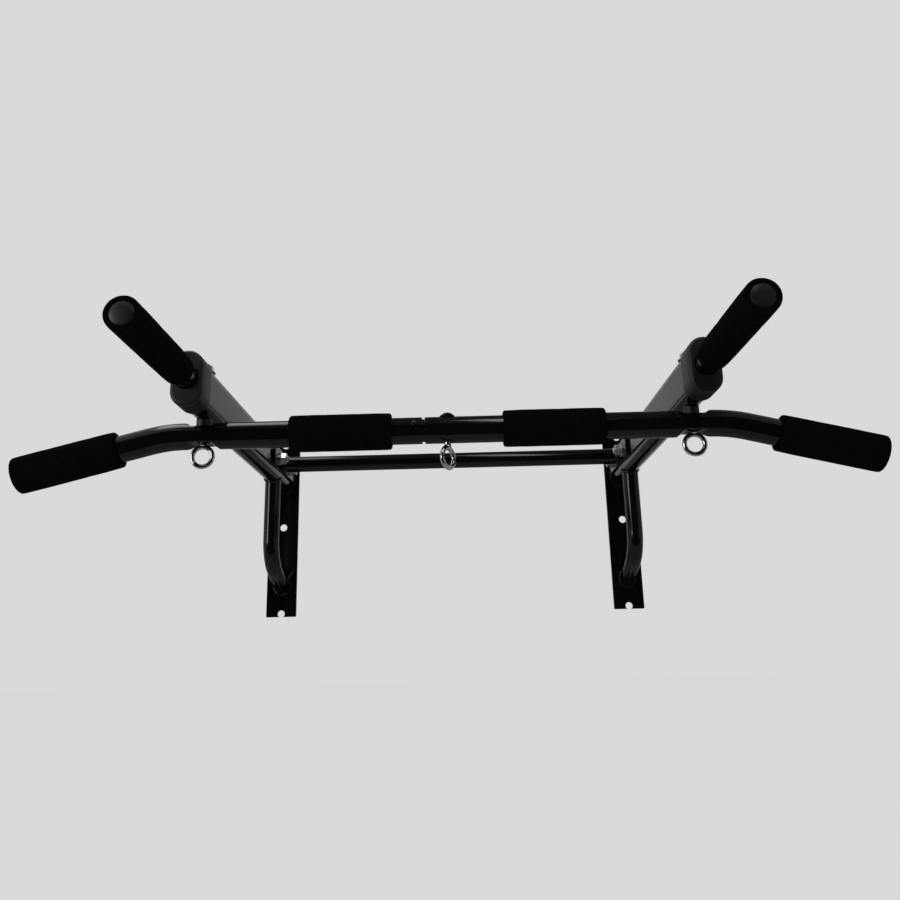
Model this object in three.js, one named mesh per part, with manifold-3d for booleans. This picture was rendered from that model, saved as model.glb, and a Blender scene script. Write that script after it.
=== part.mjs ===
// Wall-mounted chin-up bar with several grips.
//
// Two steel plates bolt to a wall. Each carries an oval arm, held from below by a bent
// brace. A two-piece bar with drooping ends hangs under the fronts of the arms, a straight
// handle comes out of each arm, a cross tube ties the arms together near the wall, and
// three eyebolts take straps or a bag.
//
// Millimetres. +X is to the right, +Z is up, the wall is the plane Y = 0 and the bar
// stands out from it towards -Y. The origin lies midway between the plates' middle holes.

import * as THREE from 'three';
import { mergeVertices } from 'three/addons/utils/BufferGeometryUtils.js';
import Module from 'manifold-3d';

const wasm = await Module();
wasm.setup();

// ---------------------------------------------------------------- driving dimensions

const gap = 0.3;                    // left between pieces that touch
const boltClearance = 0.6;          // hole diameter over bolt diameter
const slideClearance = 0.6;         // bore diameter over the tube inside it

const plateSpacing = 580;           // between the plates' centre lines
const plateWidth = 50;
const plateHeight = 300;
const plateThickness = 4;
const plateHoleDiameter = 12;
const plateHolePitch = 145;         // the outer holes break out at the plate's ends

const armHeight = 60;               // flat-oval tube, tall side upright
const armWall = 2;
const armReach = 511;               // wall to the arm's front end
const armSlack = 1;                 // arm's inner width over the handle tube inside it
const armRise = 90;                 // arm's centre line above the plates' middle holes

const capSkin = 3;                  // plastic cap: wall round the arm's end
const capFront = 4;
const capDepth = 32;
const capRound = 4;

const tubeDiameter = 25;            // handles, braces and cross tube
const tubeWall = 2;
const frameTubeOut = 90;            // brace leg and cross tube, out from the wall

const braceFootDrop = 100;          // brace's foot below the plates' middle holes
const braceBend = 50;
const braceTurn = 68;               // degrees

const flangeLength = 140;
const flangeHeight = 30;
const flangeThickness = 4;
const flangeBoltPitch = 76;
const flangeBoltDiameter = 10;
const flangeBoltAcross = 17;        // across the hexagon's flats
const flangeBoltHead = 6.4;
const flangeNut = 8;
const flangeWasherDiameter = 20;
const washerThickness = 1.8;
const boltTail = 3;                 // thread past the nut

const barDiameter = 32;
const barWall = 2;
const barSetback = 66;              // bar's centre line behind the arm's front end
const barBelowArm = 19;             // bar's centre line below the arm's underside
const barFlatDepth = 6;             // pressed flats where the side eyebolts pass
const barFlatHalf = 11;
const barFlatRun = 10;              // length over which a flat fades out
const bendPastEye = 22;             // bend's start, past the side eyebolt
const bendRadius = 160;
const bendAngle = 15;               // degrees
const bendLean = 10;                // bend plane's tilt forward from upright, degrees
const barEndLength = 152;           // straight end past the bend

const jointOffset = -28;            // seam between the bar's halves, left of the middle
const jointGroove = 3.4;
const sleeveLength = 120;
const sleeveWall = 2.5;
const screwInset = 8;               // locking screw from the left half's end
const screwLift = 18;               // degrees above level
const screwDiameter = 4;
const screwHeadDiameter = 7.5;
const screwHead = 2.2;

const barGripDiameter = 44;
const barGripLength = 120;
const barGripStart = 66;            // centre grips, from the bar's middle
const handleGripDiameter = 36;
const handleGripLength = 150;
const gripRound = 4;

const handleProud = 176;            // handle tube's front end past the arm's
const handlePastEye = 40;           // its rear end behind the eyebolt, inside the arm
const handleGripOver = 3;           // grip stands past the tube's end

const plugDome = 4;
const plugStem = 18;
const plugWall = 1.6;

const eyeShank = 8;
const eyeWire = 5.5;
const eyeOuter = 29.5;
const eyeNeck = 3;                  // centre eyebolt: shank seen under the bar
const eyeTurn = 57;                 // centre eyebolt's ring, turned from facing forward
const eyeCapDiameter = 13;          // centre eyebolt's low domed nut
const eyeCapHeight = 2.6;
const eyeCapSlope = 1.4;            // rise of its dome
const centerWasherDiameter = 18;
const centerWasherThickness = 1.2;
const eyeNutAcross = 13;
const eyeNut = 6.5;
const eyeWasherDiameter = 20;
const eyeTail = 2.5;
const spacerDiameter = 18;

// ---------------------------------------------------------------- worked-out places

const radians = THREE.MathUtils.degToRad;
const halfSpacing = plateSpacing / 2;
const armWidth = tubeDiameter + 2 * armWall + armSlack;
const barReach = armReach - barSetback;
const bendStart = halfSpacing + bendPastEye;
const handleReach = armReach + handleProud;
const handleRear = barReach - handlePastEye;
const armBottom = armRise - armHeight / 2;
const armTop = armRise + armHeight / 2;
const barHeight = armBottom - barBelowArm;
const barRadius = barDiameter / 2;
const flatTop = barRadius - barFlatDepth;
const capFace = armReach + gap + capFront;
const armInside = armWidth / 2;
const flangeFace = armInside + gap + flangeThickness;
const crossTubeHalf = halfSpacing - flangeFace - gap;
const roundSides = 20;             // facets round a tube
const holeSides = 12;
const bendSteps = 6;

// ---------------------------------------------------------------- solids

const toSolid = (geometry) => {
  const bare = geometry.clone();
  bare.deleteAttribute('normal');
  bare.deleteAttribute('uv');
  const merged = mergeVertices(bare, 1e-4);
  return new wasm.Manifold(new wasm.Mesh({
    numProp: 3,
    vertProperties: new Float32Array(merged.attributes.position.array),
    triVerts: new Uint32Array(merged.index.array),
  }));
};

const toGeometry = (solid) => {
  const mesh = solid.getMesh();
  const geometry = new THREE.BufferGeometry();
  geometry.setAttribute('position', new THREE.BufferAttribute(mesh.vertProperties, 3));
  geometry.setIndex(new THREE.BufferAttribute(mesh.triVerts, 1));
  geometry.computeVertexNormals();
  return geometry;
};

const cut = (body, ...tools) => toGeometry(
  tools.reduce((solid, tool) => solid.subtract(toSolid(tool)), toSolid(body)));

const join = (...bodies) => toGeometry(
  bodies.slice(1).reduce((solid, body) => solid.add(toSolid(body)), toSolid(bodies[0])));

// A rod of the given length with its axis along x, y or z, centred on a point.
const rod = (axis, diameter, length, [x, y, z] = [0, 0, 0], sides = roundSides) => {
  const geometry = new THREE.CylinderGeometry(diameter / 2, diameter / 2, length, sides);
  if (axis === 'x') geometry.rotateZ(Math.PI / 2);
  if (axis === 'z') geometry.rotateX(Math.PI / 2);
  return geometry.translate(x, y, z);
};

// A rod to cut with, for a bolt's clearance hole or a screw hole.
const hole = (axis, diameter, length, place) => rod(axis, diameter, length, place, holeSides);

const boltHole = (axis, bolt, length, place) => hole(axis, bolt + boltClearance, length, place);

const block = ([w, d, h], [x, y, z]) => new THREE.BoxGeometry(w, d, h).translate(x, y, z);

// A closed profile of (radius, height) points turned about Z.
const turned = (points, sides = roundSides) => {
  const profile = points.map(([radius, height]) => new THREE.Vector2(radius, height));
  if (points[0][0] > 0) profile.push(profile[0].clone());
  return new THREE.LatheGeometry(profile, sides).rotateX(Math.PI / 2);
};

// A straight round pipe standing on Z = 0.
const pipe = (diameter, wall, length, sides = roundSides) => {
  const outer = diameter / 2;
  const inner = outer - wall;
  return turned([[inner, 0], [outer, 0], [outer, length], [inner, length]], sides);
};

// Quarter-circle points about a centre, from one angle to another, in degrees.
const arcPoints = (cx, cy, radius, from, to, steps) => Array.from(
  { length: steps + 1 },
  (_, i) => {
    const angle = radians(from + (to - from) * i / steps);
    return [cx + radius * Math.cos(angle), cy + radius * Math.sin(angle)];
  });

// A flat oval, upright, in the XY plane.
const ovalShape = (width, height) => {
  const radius = width / 2;
  const reach = height / 2 - radius;
  const shape = new THREE.Shape();
  shape.absarc(0, reach, radius, 0, Math.PI, false);
  shape.absarc(0, -reach, radius, Math.PI, 2 * Math.PI, false);
  shape.closePath();
  return shape;
};

// A shape drawn across X (right) and Z (up), pushed from Y = near out to Y = -far.
const pushedOut = (shape, near, far, options = {}) => new THREE.ExtrudeGeometry(
  shape, { depth: far - near, bevelEnabled: false, curveSegments: 7, ...options },
).rotateX(Math.PI / 2).translate(0, -near, 0);

const oval = (width, height, near, far) => pushedOut(ovalShape(width, height), near, far);

// A pipe through stations, each with a point, two cross directions and the half-heights
// at which its outer and inner circles are pressed flat.
const sweptPipe = (stations, diameter, wall, sides = roundSides) => {
  const positions = [];
  const index = [];
  const ring = (station, radius, limit) => {
    for (let i = 0; i < sides; i += 1) {
      const angle = 2 * Math.PI * i / sides;
      const up = THREE.MathUtils.clamp(radius * Math.sin(angle), -limit, limit);
      const point = station.point.clone()
        .addScaledVector(station.across, radius * Math.cos(angle))
        .addScaledVector(station.up, up);
      positions.push(point.x, point.y, point.z);
    }
  };
  const radius = diameter / 2;
  stations.forEach((station) => {
    const press = station.press ?? 0;
    ring(station, radius, radius - press);
    ring(station, radius - wall, radius - wall - press);
  });
  const at = (station, inner, i) => (station * 2 + inner) * sides + (i % sides);
  const quad = (a, b, c, d) => index.push(a, b, c, a, c, d);
  const last = stations.length - 1;
  for (let i = 0; i < sides; i += 1) {
    for (let s = 0; s < last; s += 1) {
      quad(at(s, 0, i), at(s + 1, 0, i), at(s + 1, 0, i + 1), at(s, 0, i + 1));
      quad(at(s, 1, i + 1), at(s + 1, 1, i + 1), at(s + 1, 1, i), at(s, 1, i));
    }
    quad(at(0, 0, i), at(0, 0, i + 1), at(0, 1, i + 1), at(0, 1, i));
    quad(at(last, 0, i + 1), at(last, 0, i), at(last, 1, i), at(last, 1, i + 1));
  }
  const geometry = new THREE.BufferGeometry();
  geometry.setAttribute('position', new THREE.Float32BufferAttribute(positions, 3));
  geometry.setIndex(index);
  if (toSolid(geometry).volume() < 0) {
    geometry.setIndex(index.map((_, i) => index[i - (i % 3) + 2 - (i % 3)]));
  }
  return geometry;
};

const hexagon = (across, height) => rod('z', across / Math.cos(Math.PI / 6), height, [0, 0, 0], 6);

// ---------------------------------------------------------------- materials

const finish = (color, roughness, metalness) => () => new THREE.MeshStandardMaterial(
  { color, roughness, metalness });

const blackPaint = finish(0x0c0d0e, 0.22, 0.1);
const darkPlastic = finish(0x2b2d2e, 0.5, 0);
const blackFoam = finish(0x060606, 0.95, 0);
const zinc = finish(0xb9bcc0, 0.35, 0.9);
const chrome = finish(0xd8dadc, 0.15, 1);

const part = new THREE.Group();

const add = (parent, name, geometry, material, place = {}) => {
  const mesh = new THREE.Mesh(geometry, material());
  mesh.name = name;
  mesh.position.set(...(place.at ?? [0, 0, 0]));
  mesh.rotation.set(...(place.turn ?? [0, 0, 0]));
  parent.add(mesh);
  return mesh;
};

// ---------------------------------------------------------------- fasteners

const washer = (diameter, bore, thickness = washerThickness) => cut(
  rod('z', diameter, thickness, [0, 0, 0], holeSides),
  boltHole('z', bore, thickness * 3));

const nut = (across, height, bore) => cut(
  hexagon(across, height),
  boltHole('z', bore, height * 3));

// Hexagon bolt with its head under Z = 0 and its shank standing up.
const hexBolt = (diameter, across, head, length) => join(
  hexagon(across, head).translate(0, 0, -head / 2),
  rod('z', diameter, length + head / 2, [0, 0, length / 2 - head / 4], holeSides));

// ---------------------------------------------------------------- wall frame

const wallPlate = () => {
  const outline = new THREE.Shape();
  outline.moveTo(-plateWidth / 2, -plateHeight / 2);
  outline.lineTo(plateWidth / 2, -plateHeight / 2);
  outline.lineTo(plateWidth / 2, plateHeight / 2);
  outline.lineTo(-plateWidth / 2, plateHeight / 2);
  outline.closePath();
  const holes = [-1, 0, 1].map((row) => hole(
    'y', plateHoleDiameter, plateThickness * 3, [0, 0, row * plateHolePitch]));
  return cut(pushedOut(outline, 0, plateThickness), ...holes);
};

const flangeBoltPlaces = [-1, 1].map((row) => frameTubeOut - row * flangeBoltPitch / 2);

const arm = () => {
  const start = plateThickness + gap;
  const bore = oval(armWidth - 2 * armWall, armHeight - 2 * armWall, 0, armReach * 2);
  const crossHoles = flangeBoltPlaces.map((out) => boltHole(
    'x', flangeBoltDiameter, armWidth * 2, [0, -out, 0]));
  const eyeHole = boltHole('z', eyeShank, armHeight * 2, [0, -barReach, 0]);
  return cut(oval(armWidth, armHeight, start, armReach), bore, ...crossHoles, eyeHole);
};

const armCap = () => {
  const width = armWidth + 2 * (capSkin + gap);
  const height = armHeight + 2 * (capSkin + gap);
  const back = capFace - capDepth;
  const rounded = pushedOut(
    ovalShape(width - 2 * capRound, height - 2 * capRound), back, capFace - capRound,
    { bevelEnabled: true, bevelSize: capRound, bevelThickness: capRound, bevelSegments: 3 });
  return cut(
    rounded,
    block([width * 2, capDepth * 2, height * 2], [0, -back + capDepth, 0]),
    oval(armWidth + 2 * gap, armHeight + 2 * gap, back - 1, armReach + gap),
    rod('y', tubeDiameter + slideClearance, capDepth * 4, [0, -capFace, 0]));
};

// A leg straight down under the arm, a bend, and a foot running back into the plate.
const brace = () => {
  const turn = radians(braceTurn);
  const across = new THREE.Vector3(1, 0, 0);
  const footZ = -braceFootDrop - armRise;
  const footRun = (frameTubeOut - plateThickness - braceBend * (1 - Math.cos(turn)))
    / Math.sin(turn);
  const bendEndZ = footZ + footRun * Math.cos(turn);
  const bendTopZ = bendEndZ + braceBend * Math.sin(turn);
  const stationAt = (y, z, angle) => ({
    point: new THREE.Vector3(0, y, z),
    across,
    up: new THREE.Vector3(0, Math.cos(angle), Math.sin(angle)),
  });
  const stations = [stationAt(-frameTubeOut, 0, 0)];
  for (let i = 0; i <= bendSteps; i += 1) {
    const angle = turn * i / bendSteps;
    stations.push(stationAt(
      -frameTubeOut + braceBend * (1 - Math.cos(angle)),
      bendTopZ - braceBend * Math.sin(angle),
      angle));
  }
  const past = footRun + tubeDiameter;
  const end = stations.at(-1).point;
  stations.push(stationAt(
    end.y + past * Math.sin(turn), end.z - past * Math.cos(turn), turn));
  return cut(
    sweptPipe(stations, tubeDiameter, tubeWall),
    oval(armWidth + 2 * gap, armHeight + 2 * gap, 0, armReach),
    block([plateWidth * 2, 200, plateHeight * 2], [0, 100 - plateThickness - gap, 0]));
};

const crossTube = () => pipe(tubeDiameter, tubeWall, 2 * crossTubeHalf)
  .rotateY(Math.PI / 2).translate(-crossTubeHalf, 0, 0);

const flange = () => {
  const radius = flangeHeight / 4;
  const w = flangeLength / 2 - radius;
  const h = flangeHeight / 2 - radius;
  const outline = new THREE.Shape();
  outline.absarc(w, h, radius, 0, Math.PI / 2, false);
  outline.absarc(-w, h, radius, Math.PI / 2, Math.PI, false);
  outline.absarc(-w, -h, radius, Math.PI, 1.5 * Math.PI, false);
  outline.absarc(w, -h, radius, 1.5 * Math.PI, 2 * Math.PI, false);
  const plate = new THREE.ExtrudeGeometry(
    outline, { depth: flangeThickness, bevelEnabled: false, curveSegments: 5 });
  const holes = [-1, 1].map((row) => boltHole(
    'z', flangeBoltDiameter, flangeThickness * 4, [row * flangeBoltPitch / 2, 0, 0]));
  return cut(plate, ...holes);
};

// ---------------------------------------------------------------- bar

// The bar's centre line on its right-hand half, at a distance from the bar's middle.
const barStation = (distance) => {
  const run = THREE.MathUtils.clamp(distance - bendStart, 0, bendRadius * radians(bendAngle));
  const angle = run / bendRadius;
  const past = Math.max(0, distance - bendStart - bendRadius * radians(bendAngle));
  const out = Math.min(distance, bendStart) + bendRadius * Math.sin(angle)
    + past * Math.cos(angle);
  const droop = bendRadius * (1 - Math.cos(angle)) + past * Math.sin(angle);
  const lean = radians(bendLean);
  const down = new THREE.Vector3(0, -Math.sin(lean), -Math.cos(lean));
  const along = new THREE.Vector3(Math.cos(angle), 0, 0).addScaledVector(down, Math.sin(angle));
  const level = new THREE.Vector3(0, 1, 0);
  const across = level.addScaledVector(along, -level.dot(along)).normalize();
  const fromEye = Math.abs(distance - halfSpacing);
  const fade = THREE.MathUtils.clamp((fromEye - barFlatHalf) / barFlatRun, 0, 1);
  return {
    point: new THREE.Vector3(out, 0, 0).addScaledVector(down, droop),
    along,
    across,
    up: new THREE.Vector3().crossVectors(along, across).normalize(),
    press: barFlatDepth * (0.5 + 0.5 * Math.cos(Math.PI * fade)),
  };
};

const bendEnd = bendStart + bendRadius * radians(bendAngle);
const barEnd = bendEnd + barEndLength;

const mirrorStation = (station) => {
  const flip = new THREE.Vector3(-1, 1, 1);
  return {
    point: station.point.clone().multiply(flip),
    across: station.across.clone().multiply(flip),
    up: station.up.clone().multiply(flip),
    press: station.press,
  };
};

const flatStations = () => {
  const fading = [0, 0.5, 1].map((share) => barFlatHalf + share * barFlatRun);
  return [...fading.map((away) => halfSpacing - away).reverse(),
    ...fading.map((away) => halfSpacing + away)];
};

const bendStations = () => Array.from({ length: bendSteps + 1 }, (_, i) => THREE.MathUtils.lerp(
  bendStart, bendEnd, i / bendSteps));

const barHalf = (side) => {
  const seam = side * jointOffset + jointGroove / 2;
  const distances = [seam, ...flatStations(), ...bendStations(), barEnd];
  const spaced = distances
    .sort((a, b) => a - b)
    .filter((distance, i, all) => i === 0 || distance - all[i - 1] > 0.5);
  const stations = spaced.map((distance) => (side > 0
    ? barStation(distance) : mirrorStation(barStation(distance))));
  const holes = [boltHole('z', eyeShank, barDiameter * 2, [side * halfSpacing, 0, 0])];
  if (seam < 0) holes.push(boltHole('z', eyeShank, barDiameter * 2));
  if (seam > 0) holes.push(screwPath(screwDiameter + boltClearance));
  return cut(sweptPipe(stations, barDiameter, barWall), ...holes);
};

const screwPlace = jointOffset - jointGroove / 2 - screwInset;

// A rod along the locking screw's axis, from the bar's centre line outwards.
const screwPath = (diameter) => hole('y', diameter, barDiameter, [0, -barRadius, 0])
  .rotateX(-radians(screwLift)).translate(screwPlace, 0, 0);

const jointSleeve = () => cut(
  pipe(barDiameter - 2 * barWall - slideClearance, sleeveWall, sleeveLength)
    .rotateY(Math.PI / 2).translate(jointOffset - sleeveLength / 2, 0, 0),
  boltHole('z', eyeShank, barDiameter * 2),
  screwPath(screwDiameter + boltClearance));

// Pan-head screw: head on the bar's surface, shank into the sleeve.
const jointScrew = () => {
  const headFoot = barRadius + gap;
  const shankEnd = barRadius - barWall - slideClearance / 2 - sleeveWall - 1;
  const screw = turned([
    [0, shankEnd],
    [screwDiameter / 2, shankEnd],
    [screwDiameter / 2, headFoot],
    [screwHeadDiameter / 2, headFoot],
    [screwHeadDiameter / 2, headFoot + screwHead * 0.5],
    [screwHeadDiameter / 4, headFoot + screwHead],
    [0, headFoot + screwHead],
  ], holeSides);
  return screw.rotateX(Math.PI / 2 - radians(screwLift));
};

// ---------------------------------------------------------------- grips and plugs

const grip = (diameter, tube, length) => {
  const inner = (tube + slideClearance) / 2;
  const outer = diameter / 2;
  return turned([
    [inner, 0],
    ...arcPoints(outer - gripRound, gripRound, gripRound, -90, 0, 3),
    ...arcPoints(outer - gripRound, length - gripRound, gripRound, 0, 90, 3),
    [inner, length],
  ]);
};

// A hollow plug standing in a tube whose mouth is at Z = 0, with its dome above.
const plug = (tube, wall) => {
  const rim = tube / 2;
  const stem = rim - wall - gap;
  const domeSteps = 3;
  const dome = Array.from({ length: domeSteps }, (_, i) => {
    const angle = radians(90 * i / domeSteps);
    return [rim * Math.cos(angle), gap + 1 + (plugDome - 1) * Math.sin(angle)];
  });
  return turned([
    [0, gap],
    [stem - plugWall, gap],
    [stem - plugWall, -plugStem],
    [stem, -plugStem],
    [stem, gap],
    [rim, gap],
    ...dome,
    [0, gap + plugDome],
  ]);
};

const handleTube = () => cut(
  pipe(tubeDiameter, tubeWall, handleReach - handleRear)
    .rotateX(Math.PI / 2).translate(0, -handleRear, 0),
  boltHole('z', eyeShank, tubeDiameter * 2, [0, -barReach, 0]));

// ---------------------------------------------------------------- eyebolts

const eyeRadius = (eyeOuter - eyeWire) / 2;

// A ring centred on Z = 0 facing forward, with its shank standing up to a height.
const eyebolt = (top) => join(
  new THREE.TorusGeometry(eyeRadius, eyeWire / 2, 8, 24).rotateX(Math.PI / 2),
  rod('z', eyeShank, top - eyeRadius, [0, 0, (top + eyeRadius) / 2], holeSides));

// A low round nut standing on Z = 0, flush with the shank's end.
const domedNut = () => {
  const bore = (eyeShank + boltClearance) / 2;
  const radius = eyeCapDiameter / 2;
  return turned([
    [bore, 0],
    [radius, 0],
    [radius, eyeCapHeight - eyeCapSlope],
    [(radius + bore) / 2, eyeCapHeight - eyeCapSlope / 4],
    [bore, eyeCapHeight],
  ]);
};

// A collar between the bar's pressed flat and the arm's rounded underside.
const spacer = () => cut(
  rod('z', spacerDiameter, armHeight, [0, 0, armHeight / 2 + flatTop + gap]),
  boltHole('z', eyeShank, armHeight * 4),
  oval(armWidth + 2 * gap, armHeight + 2 * gap, -spacerDiameter, spacerDiameter)
    .translate(0, 0, armRise - barHeight),
  block([armHeight, armHeight, armHeight], [0, 0, armRise - barHeight + armHeight / 2]));

// ---------------------------------------------------------------- assembly

const sideNames = { [-1]: 'left', [1]: 'right' };

const addFlangeBolts = (group, side) => {
  const inwards = [0, -side * Math.PI / 2, 0];
  const rows = ['rear', 'front'];
  flangeBoltPlaces.forEach((out, i) => {
    const label = `${sideNames[side]}_flange_${rows[out > frameTubeOut ? 1 : 0]}`;
    const place = (inner) => ({ at: [-side * inner, -out, 0], turn: inwards });
    const headSeat = -armInside - gap - washerThickness - gap;
    const nutSeat = flangeFace + gap + washerThickness + gap;
    const shank = nutSeat + flangeNut + boltTail - headSeat;
    const washerShape = washer(flangeWasherDiameter, flangeBoltDiameter);
    add(group, `${label}_bolt`,
      hexBolt(flangeBoltDiameter, flangeBoltAcross, flangeBoltHead, shank), zinc,
      place(headSeat));
    add(group, `${label}_outer_washer`, washerShape, zinc,
      place(-armInside - gap - washerThickness / 2));
    add(group, `${label}_inner_washer`, washerShape.clone(), zinc,
      place(flangeFace + gap + washerThickness / 2));
    add(group, `${label}_nut`,
      nut(flangeBoltAcross, flangeNut, flangeBoltDiameter), zinc,
      place(nutSeat + flangeNut / 2));
  });
};

const addWallFrame = (side) => {
  const name = sideNames[side];
  const frame = new THREE.Group();
  frame.position.x = side * halfSpacing;
  part.add(frame);
  add(frame, `${name}_wall_plate`, wallPlate(), blackPaint);

  const raised = new THREE.Group();
  raised.position.z = armRise;
  frame.add(raised);
  add(raised, `${name}_arm`, arm(), blackPaint);
  add(raised, `${name}_brace`, brace(), blackPaint);
  add(raised, `${name}_arm_cap`, armCap(), darkPlastic);
  add(raised, `${name}_handle_tube`, handleTube(), blackPaint);

  const forward = [Math.PI / 2, 0, 0];
  add(raised, `${name}_handle_plug`, plug(tubeDiameter, tubeWall), darkPlastic,
    { at: [0, -handleReach, 0], turn: forward });
  add(raised, `${name}_handle_grip`,
    grip(handleGripDiameter, tubeDiameter, handleGripLength), blackFoam,
    { at: [0, -(handleReach + handleGripOver - handleGripLength), 0], turn: forward });

  add(raised, `${name}_cross_flange`, flange(), blackPaint, {
    at: [-side * (armInside + gap + (side < 0 ? 0 : flangeThickness)), -frameTubeOut, 0],
    turn: [Math.PI / 2, Math.PI / 2, 0],
  });
  addFlangeBolts(raised, side);
};

const addSideEyebolt = (bar, side) => {
  const name = sideNames[side];
  const post = new THREE.Group();
  post.position.x = side * halfSpacing;
  bar.add(post);
  const ring = -flatTop - gap - eyeOuter / 2;
  const seat = armTop - barHeight + gap;
  const nutSeat = seat + washerThickness + gap;
  add(post, `${name}_eyebolt`, eyebolt(nutSeat + eyeNut + eyeTail - ring), chrome,
    { at: [0, 0, ring] });
  add(post, `${name}_eyebolt_spacer`, spacer(), blackPaint);
  add(post, `${name}_eyebolt_washer`, washer(eyeWasherDiameter, eyeShank), zinc,
    { at: [0, 0, seat + washerThickness / 2] });
  add(post, `${name}_eyebolt_nut`, nut(eyeNutAcross, eyeNut, eyeShank), zinc,
    { at: [0, 0, nutSeat + eyeNut / 2] });
};

const addCenterEyebolt = (bar) => {
  const turn = [0, 0, radians(eyeTurn)];
  const ring = -barRadius - eyeNeck - eyeOuter / 2;
  const seat = barRadius + gap;
  const nutSeat = seat + centerWasherThickness + gap;
  add(bar, 'center_eyebolt', eyebolt(nutSeat + eyeCapHeight - ring), chrome,
    { at: [0, 0, ring], turn });
  add(bar, 'center_eyebolt_washer',
    washer(centerWasherDiameter, eyeShank, centerWasherThickness), zinc,
    { at: [0, 0, seat + centerWasherThickness / 2], turn });
  add(bar, 'center_eyebolt_nut', domedNut(), blackPaint, { at: [0, 0, nutSeat], turn });
};

// Stands a piece built along +Z on the bar's centre line at a distance from its middle.
const onBar = (geometry, side, distance) => {
  const station = barStation(distance);
  const along = station.along.clone();
  const point = station.point.clone();
  along.x *= side;
  point.x *= side;
  const turn = new THREE.Quaternion().setFromUnitVectors(new THREE.Vector3(0, 0, 1), along);
  return geometry.applyQuaternion(turn).translate(point.x, point.y, point.z);
};

const addBar = () => {
  const bar = new THREE.Group();
  bar.position.set(0, -barReach, barHeight);
  part.add(bar);
  add(bar, 'joint_sleeve', jointSleeve(), blackPaint);
  add(bar, 'joint_screw', jointScrew(), zinc, { at: [screwPlace, 0, 0] });
  const barGrip = () => grip(barGripDiameter, barDiameter, barGripLength);
  [-1, 1].forEach((side) => {
    const name = sideNames[side];
    add(bar, `${name}_bar`, barHalf(side), blackPaint);
    add(bar, `${name}_center_grip`, onBar(barGrip(), side, barGripStart), blackFoam);
    add(bar, `${name}_end_grip`,
      onBar(barGrip(), side, barEnd + handleGripOver - barGripLength), blackFoam);
    add(bar, `${name}_bar_plug`, onBar(plug(barDiameter, barWall), side, barEnd), darkPlastic);
    addSideEyebolt(bar, side);
  });
  addCenterEyebolt(bar);
};

[-1, 1].forEach(addWallFrame);
add(part, 'cross_tube', crossTube(), blackPaint, { at: [0, -frameTubeOut, armRise] });
addBar();

export default part;
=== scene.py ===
"""Wall-mounted pull up bar: the finished pieces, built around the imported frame.

Metres throughout, in the frame's own axes: +X right, +Z up, the wall is the plane Y = 0
and the bar stands out from it towards -Y.
"""
import logging
import math
from dataclasses import dataclass, field
from enum import Enum
from typing import Iterable, Sequence

import bmesh
import bpy
from mathutils import Matrix, Vector, noise


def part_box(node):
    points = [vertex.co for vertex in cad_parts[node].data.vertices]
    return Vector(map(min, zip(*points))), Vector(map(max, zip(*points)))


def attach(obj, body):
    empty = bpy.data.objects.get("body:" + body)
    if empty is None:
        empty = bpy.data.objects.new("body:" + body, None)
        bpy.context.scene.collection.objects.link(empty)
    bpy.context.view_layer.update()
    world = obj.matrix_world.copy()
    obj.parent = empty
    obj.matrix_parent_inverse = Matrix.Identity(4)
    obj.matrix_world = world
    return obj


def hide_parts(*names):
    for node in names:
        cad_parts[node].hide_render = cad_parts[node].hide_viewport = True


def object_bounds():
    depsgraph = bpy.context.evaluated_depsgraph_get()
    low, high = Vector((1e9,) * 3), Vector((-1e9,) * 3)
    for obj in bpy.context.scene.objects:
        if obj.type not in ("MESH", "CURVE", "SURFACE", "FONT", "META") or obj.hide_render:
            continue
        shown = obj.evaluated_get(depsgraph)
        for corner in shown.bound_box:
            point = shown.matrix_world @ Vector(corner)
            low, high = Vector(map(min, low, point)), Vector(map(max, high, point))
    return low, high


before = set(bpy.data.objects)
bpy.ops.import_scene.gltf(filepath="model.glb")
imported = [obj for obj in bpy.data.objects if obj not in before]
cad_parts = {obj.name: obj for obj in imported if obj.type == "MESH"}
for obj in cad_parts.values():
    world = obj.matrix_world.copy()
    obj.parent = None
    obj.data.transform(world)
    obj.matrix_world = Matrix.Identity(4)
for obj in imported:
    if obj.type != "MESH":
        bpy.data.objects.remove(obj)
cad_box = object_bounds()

log = logging.getLogger("pull_up_bar")

ROUND = 96                      # facets round a tube
FINE_ROUND = 64                 # facets round a small fastener
SHANK_ROUND = 48                # facets round a threaded shank
TOUCH = 1e-7                    # points nearer than this are one
PLAY = 0.0003                   # between a tube and what sits in it
THROUGH_TUBE = 0.03             # half of a cutter that goes right through a tube
THROUGH_ARM = 0.05              # and through the arm from top to bottom
FRAME_BODY = "frame"
SWIVEL_BODY = "swivel_eye"
UP = Vector((0, 0, 1))

Pair = tuple[float, float]
Triple = tuple[float, float, float]
Colour = Triple
Ring = list[Vector]


class Side(Enum):
    """Which half of the bar a piece belongs to; the value is its sign along X."""

    LEFT = -1
    RIGHT = 1

    @property
    def word(self) -> str:
        """The side's name as it stands in node names."""
        return self.name.lower()


class Facing(Enum):
    """The way a piece built along +Z points once it is in place."""

    UP = (0, 0, 1)
    DOWN = (0, 0, -1)
    FRONT = (0, -1, 0)
    RIGHT = (1, 0, 0)
    LEFT = (-1, 0, 0)

    def at(self, point: Vector) -> Matrix:
        """The matrix that stands a piece on a point, facing this way."""
        return standing(point, Vector(self.value))


class Row(Enum):
    """The two bolts of a flange, named by where they sit along the arm."""

    REAR = "rear"
    FRONT = "front"


def standing(point: Vector, direction: Vector) -> Matrix:
    """The matrix that turns +Z to a direction and moves the origin to a point.

    Args:
        point: Where the piece's origin goes.
        direction: Where its +Z points.

    Returns:
        The placing matrix.
    """
    turn = UP.rotation_difference(direction.normalized()).to_matrix().to_4x4()
    return Matrix.Translation(point) @ turn


# ------------------------------------------------------------------ frame readings


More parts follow.
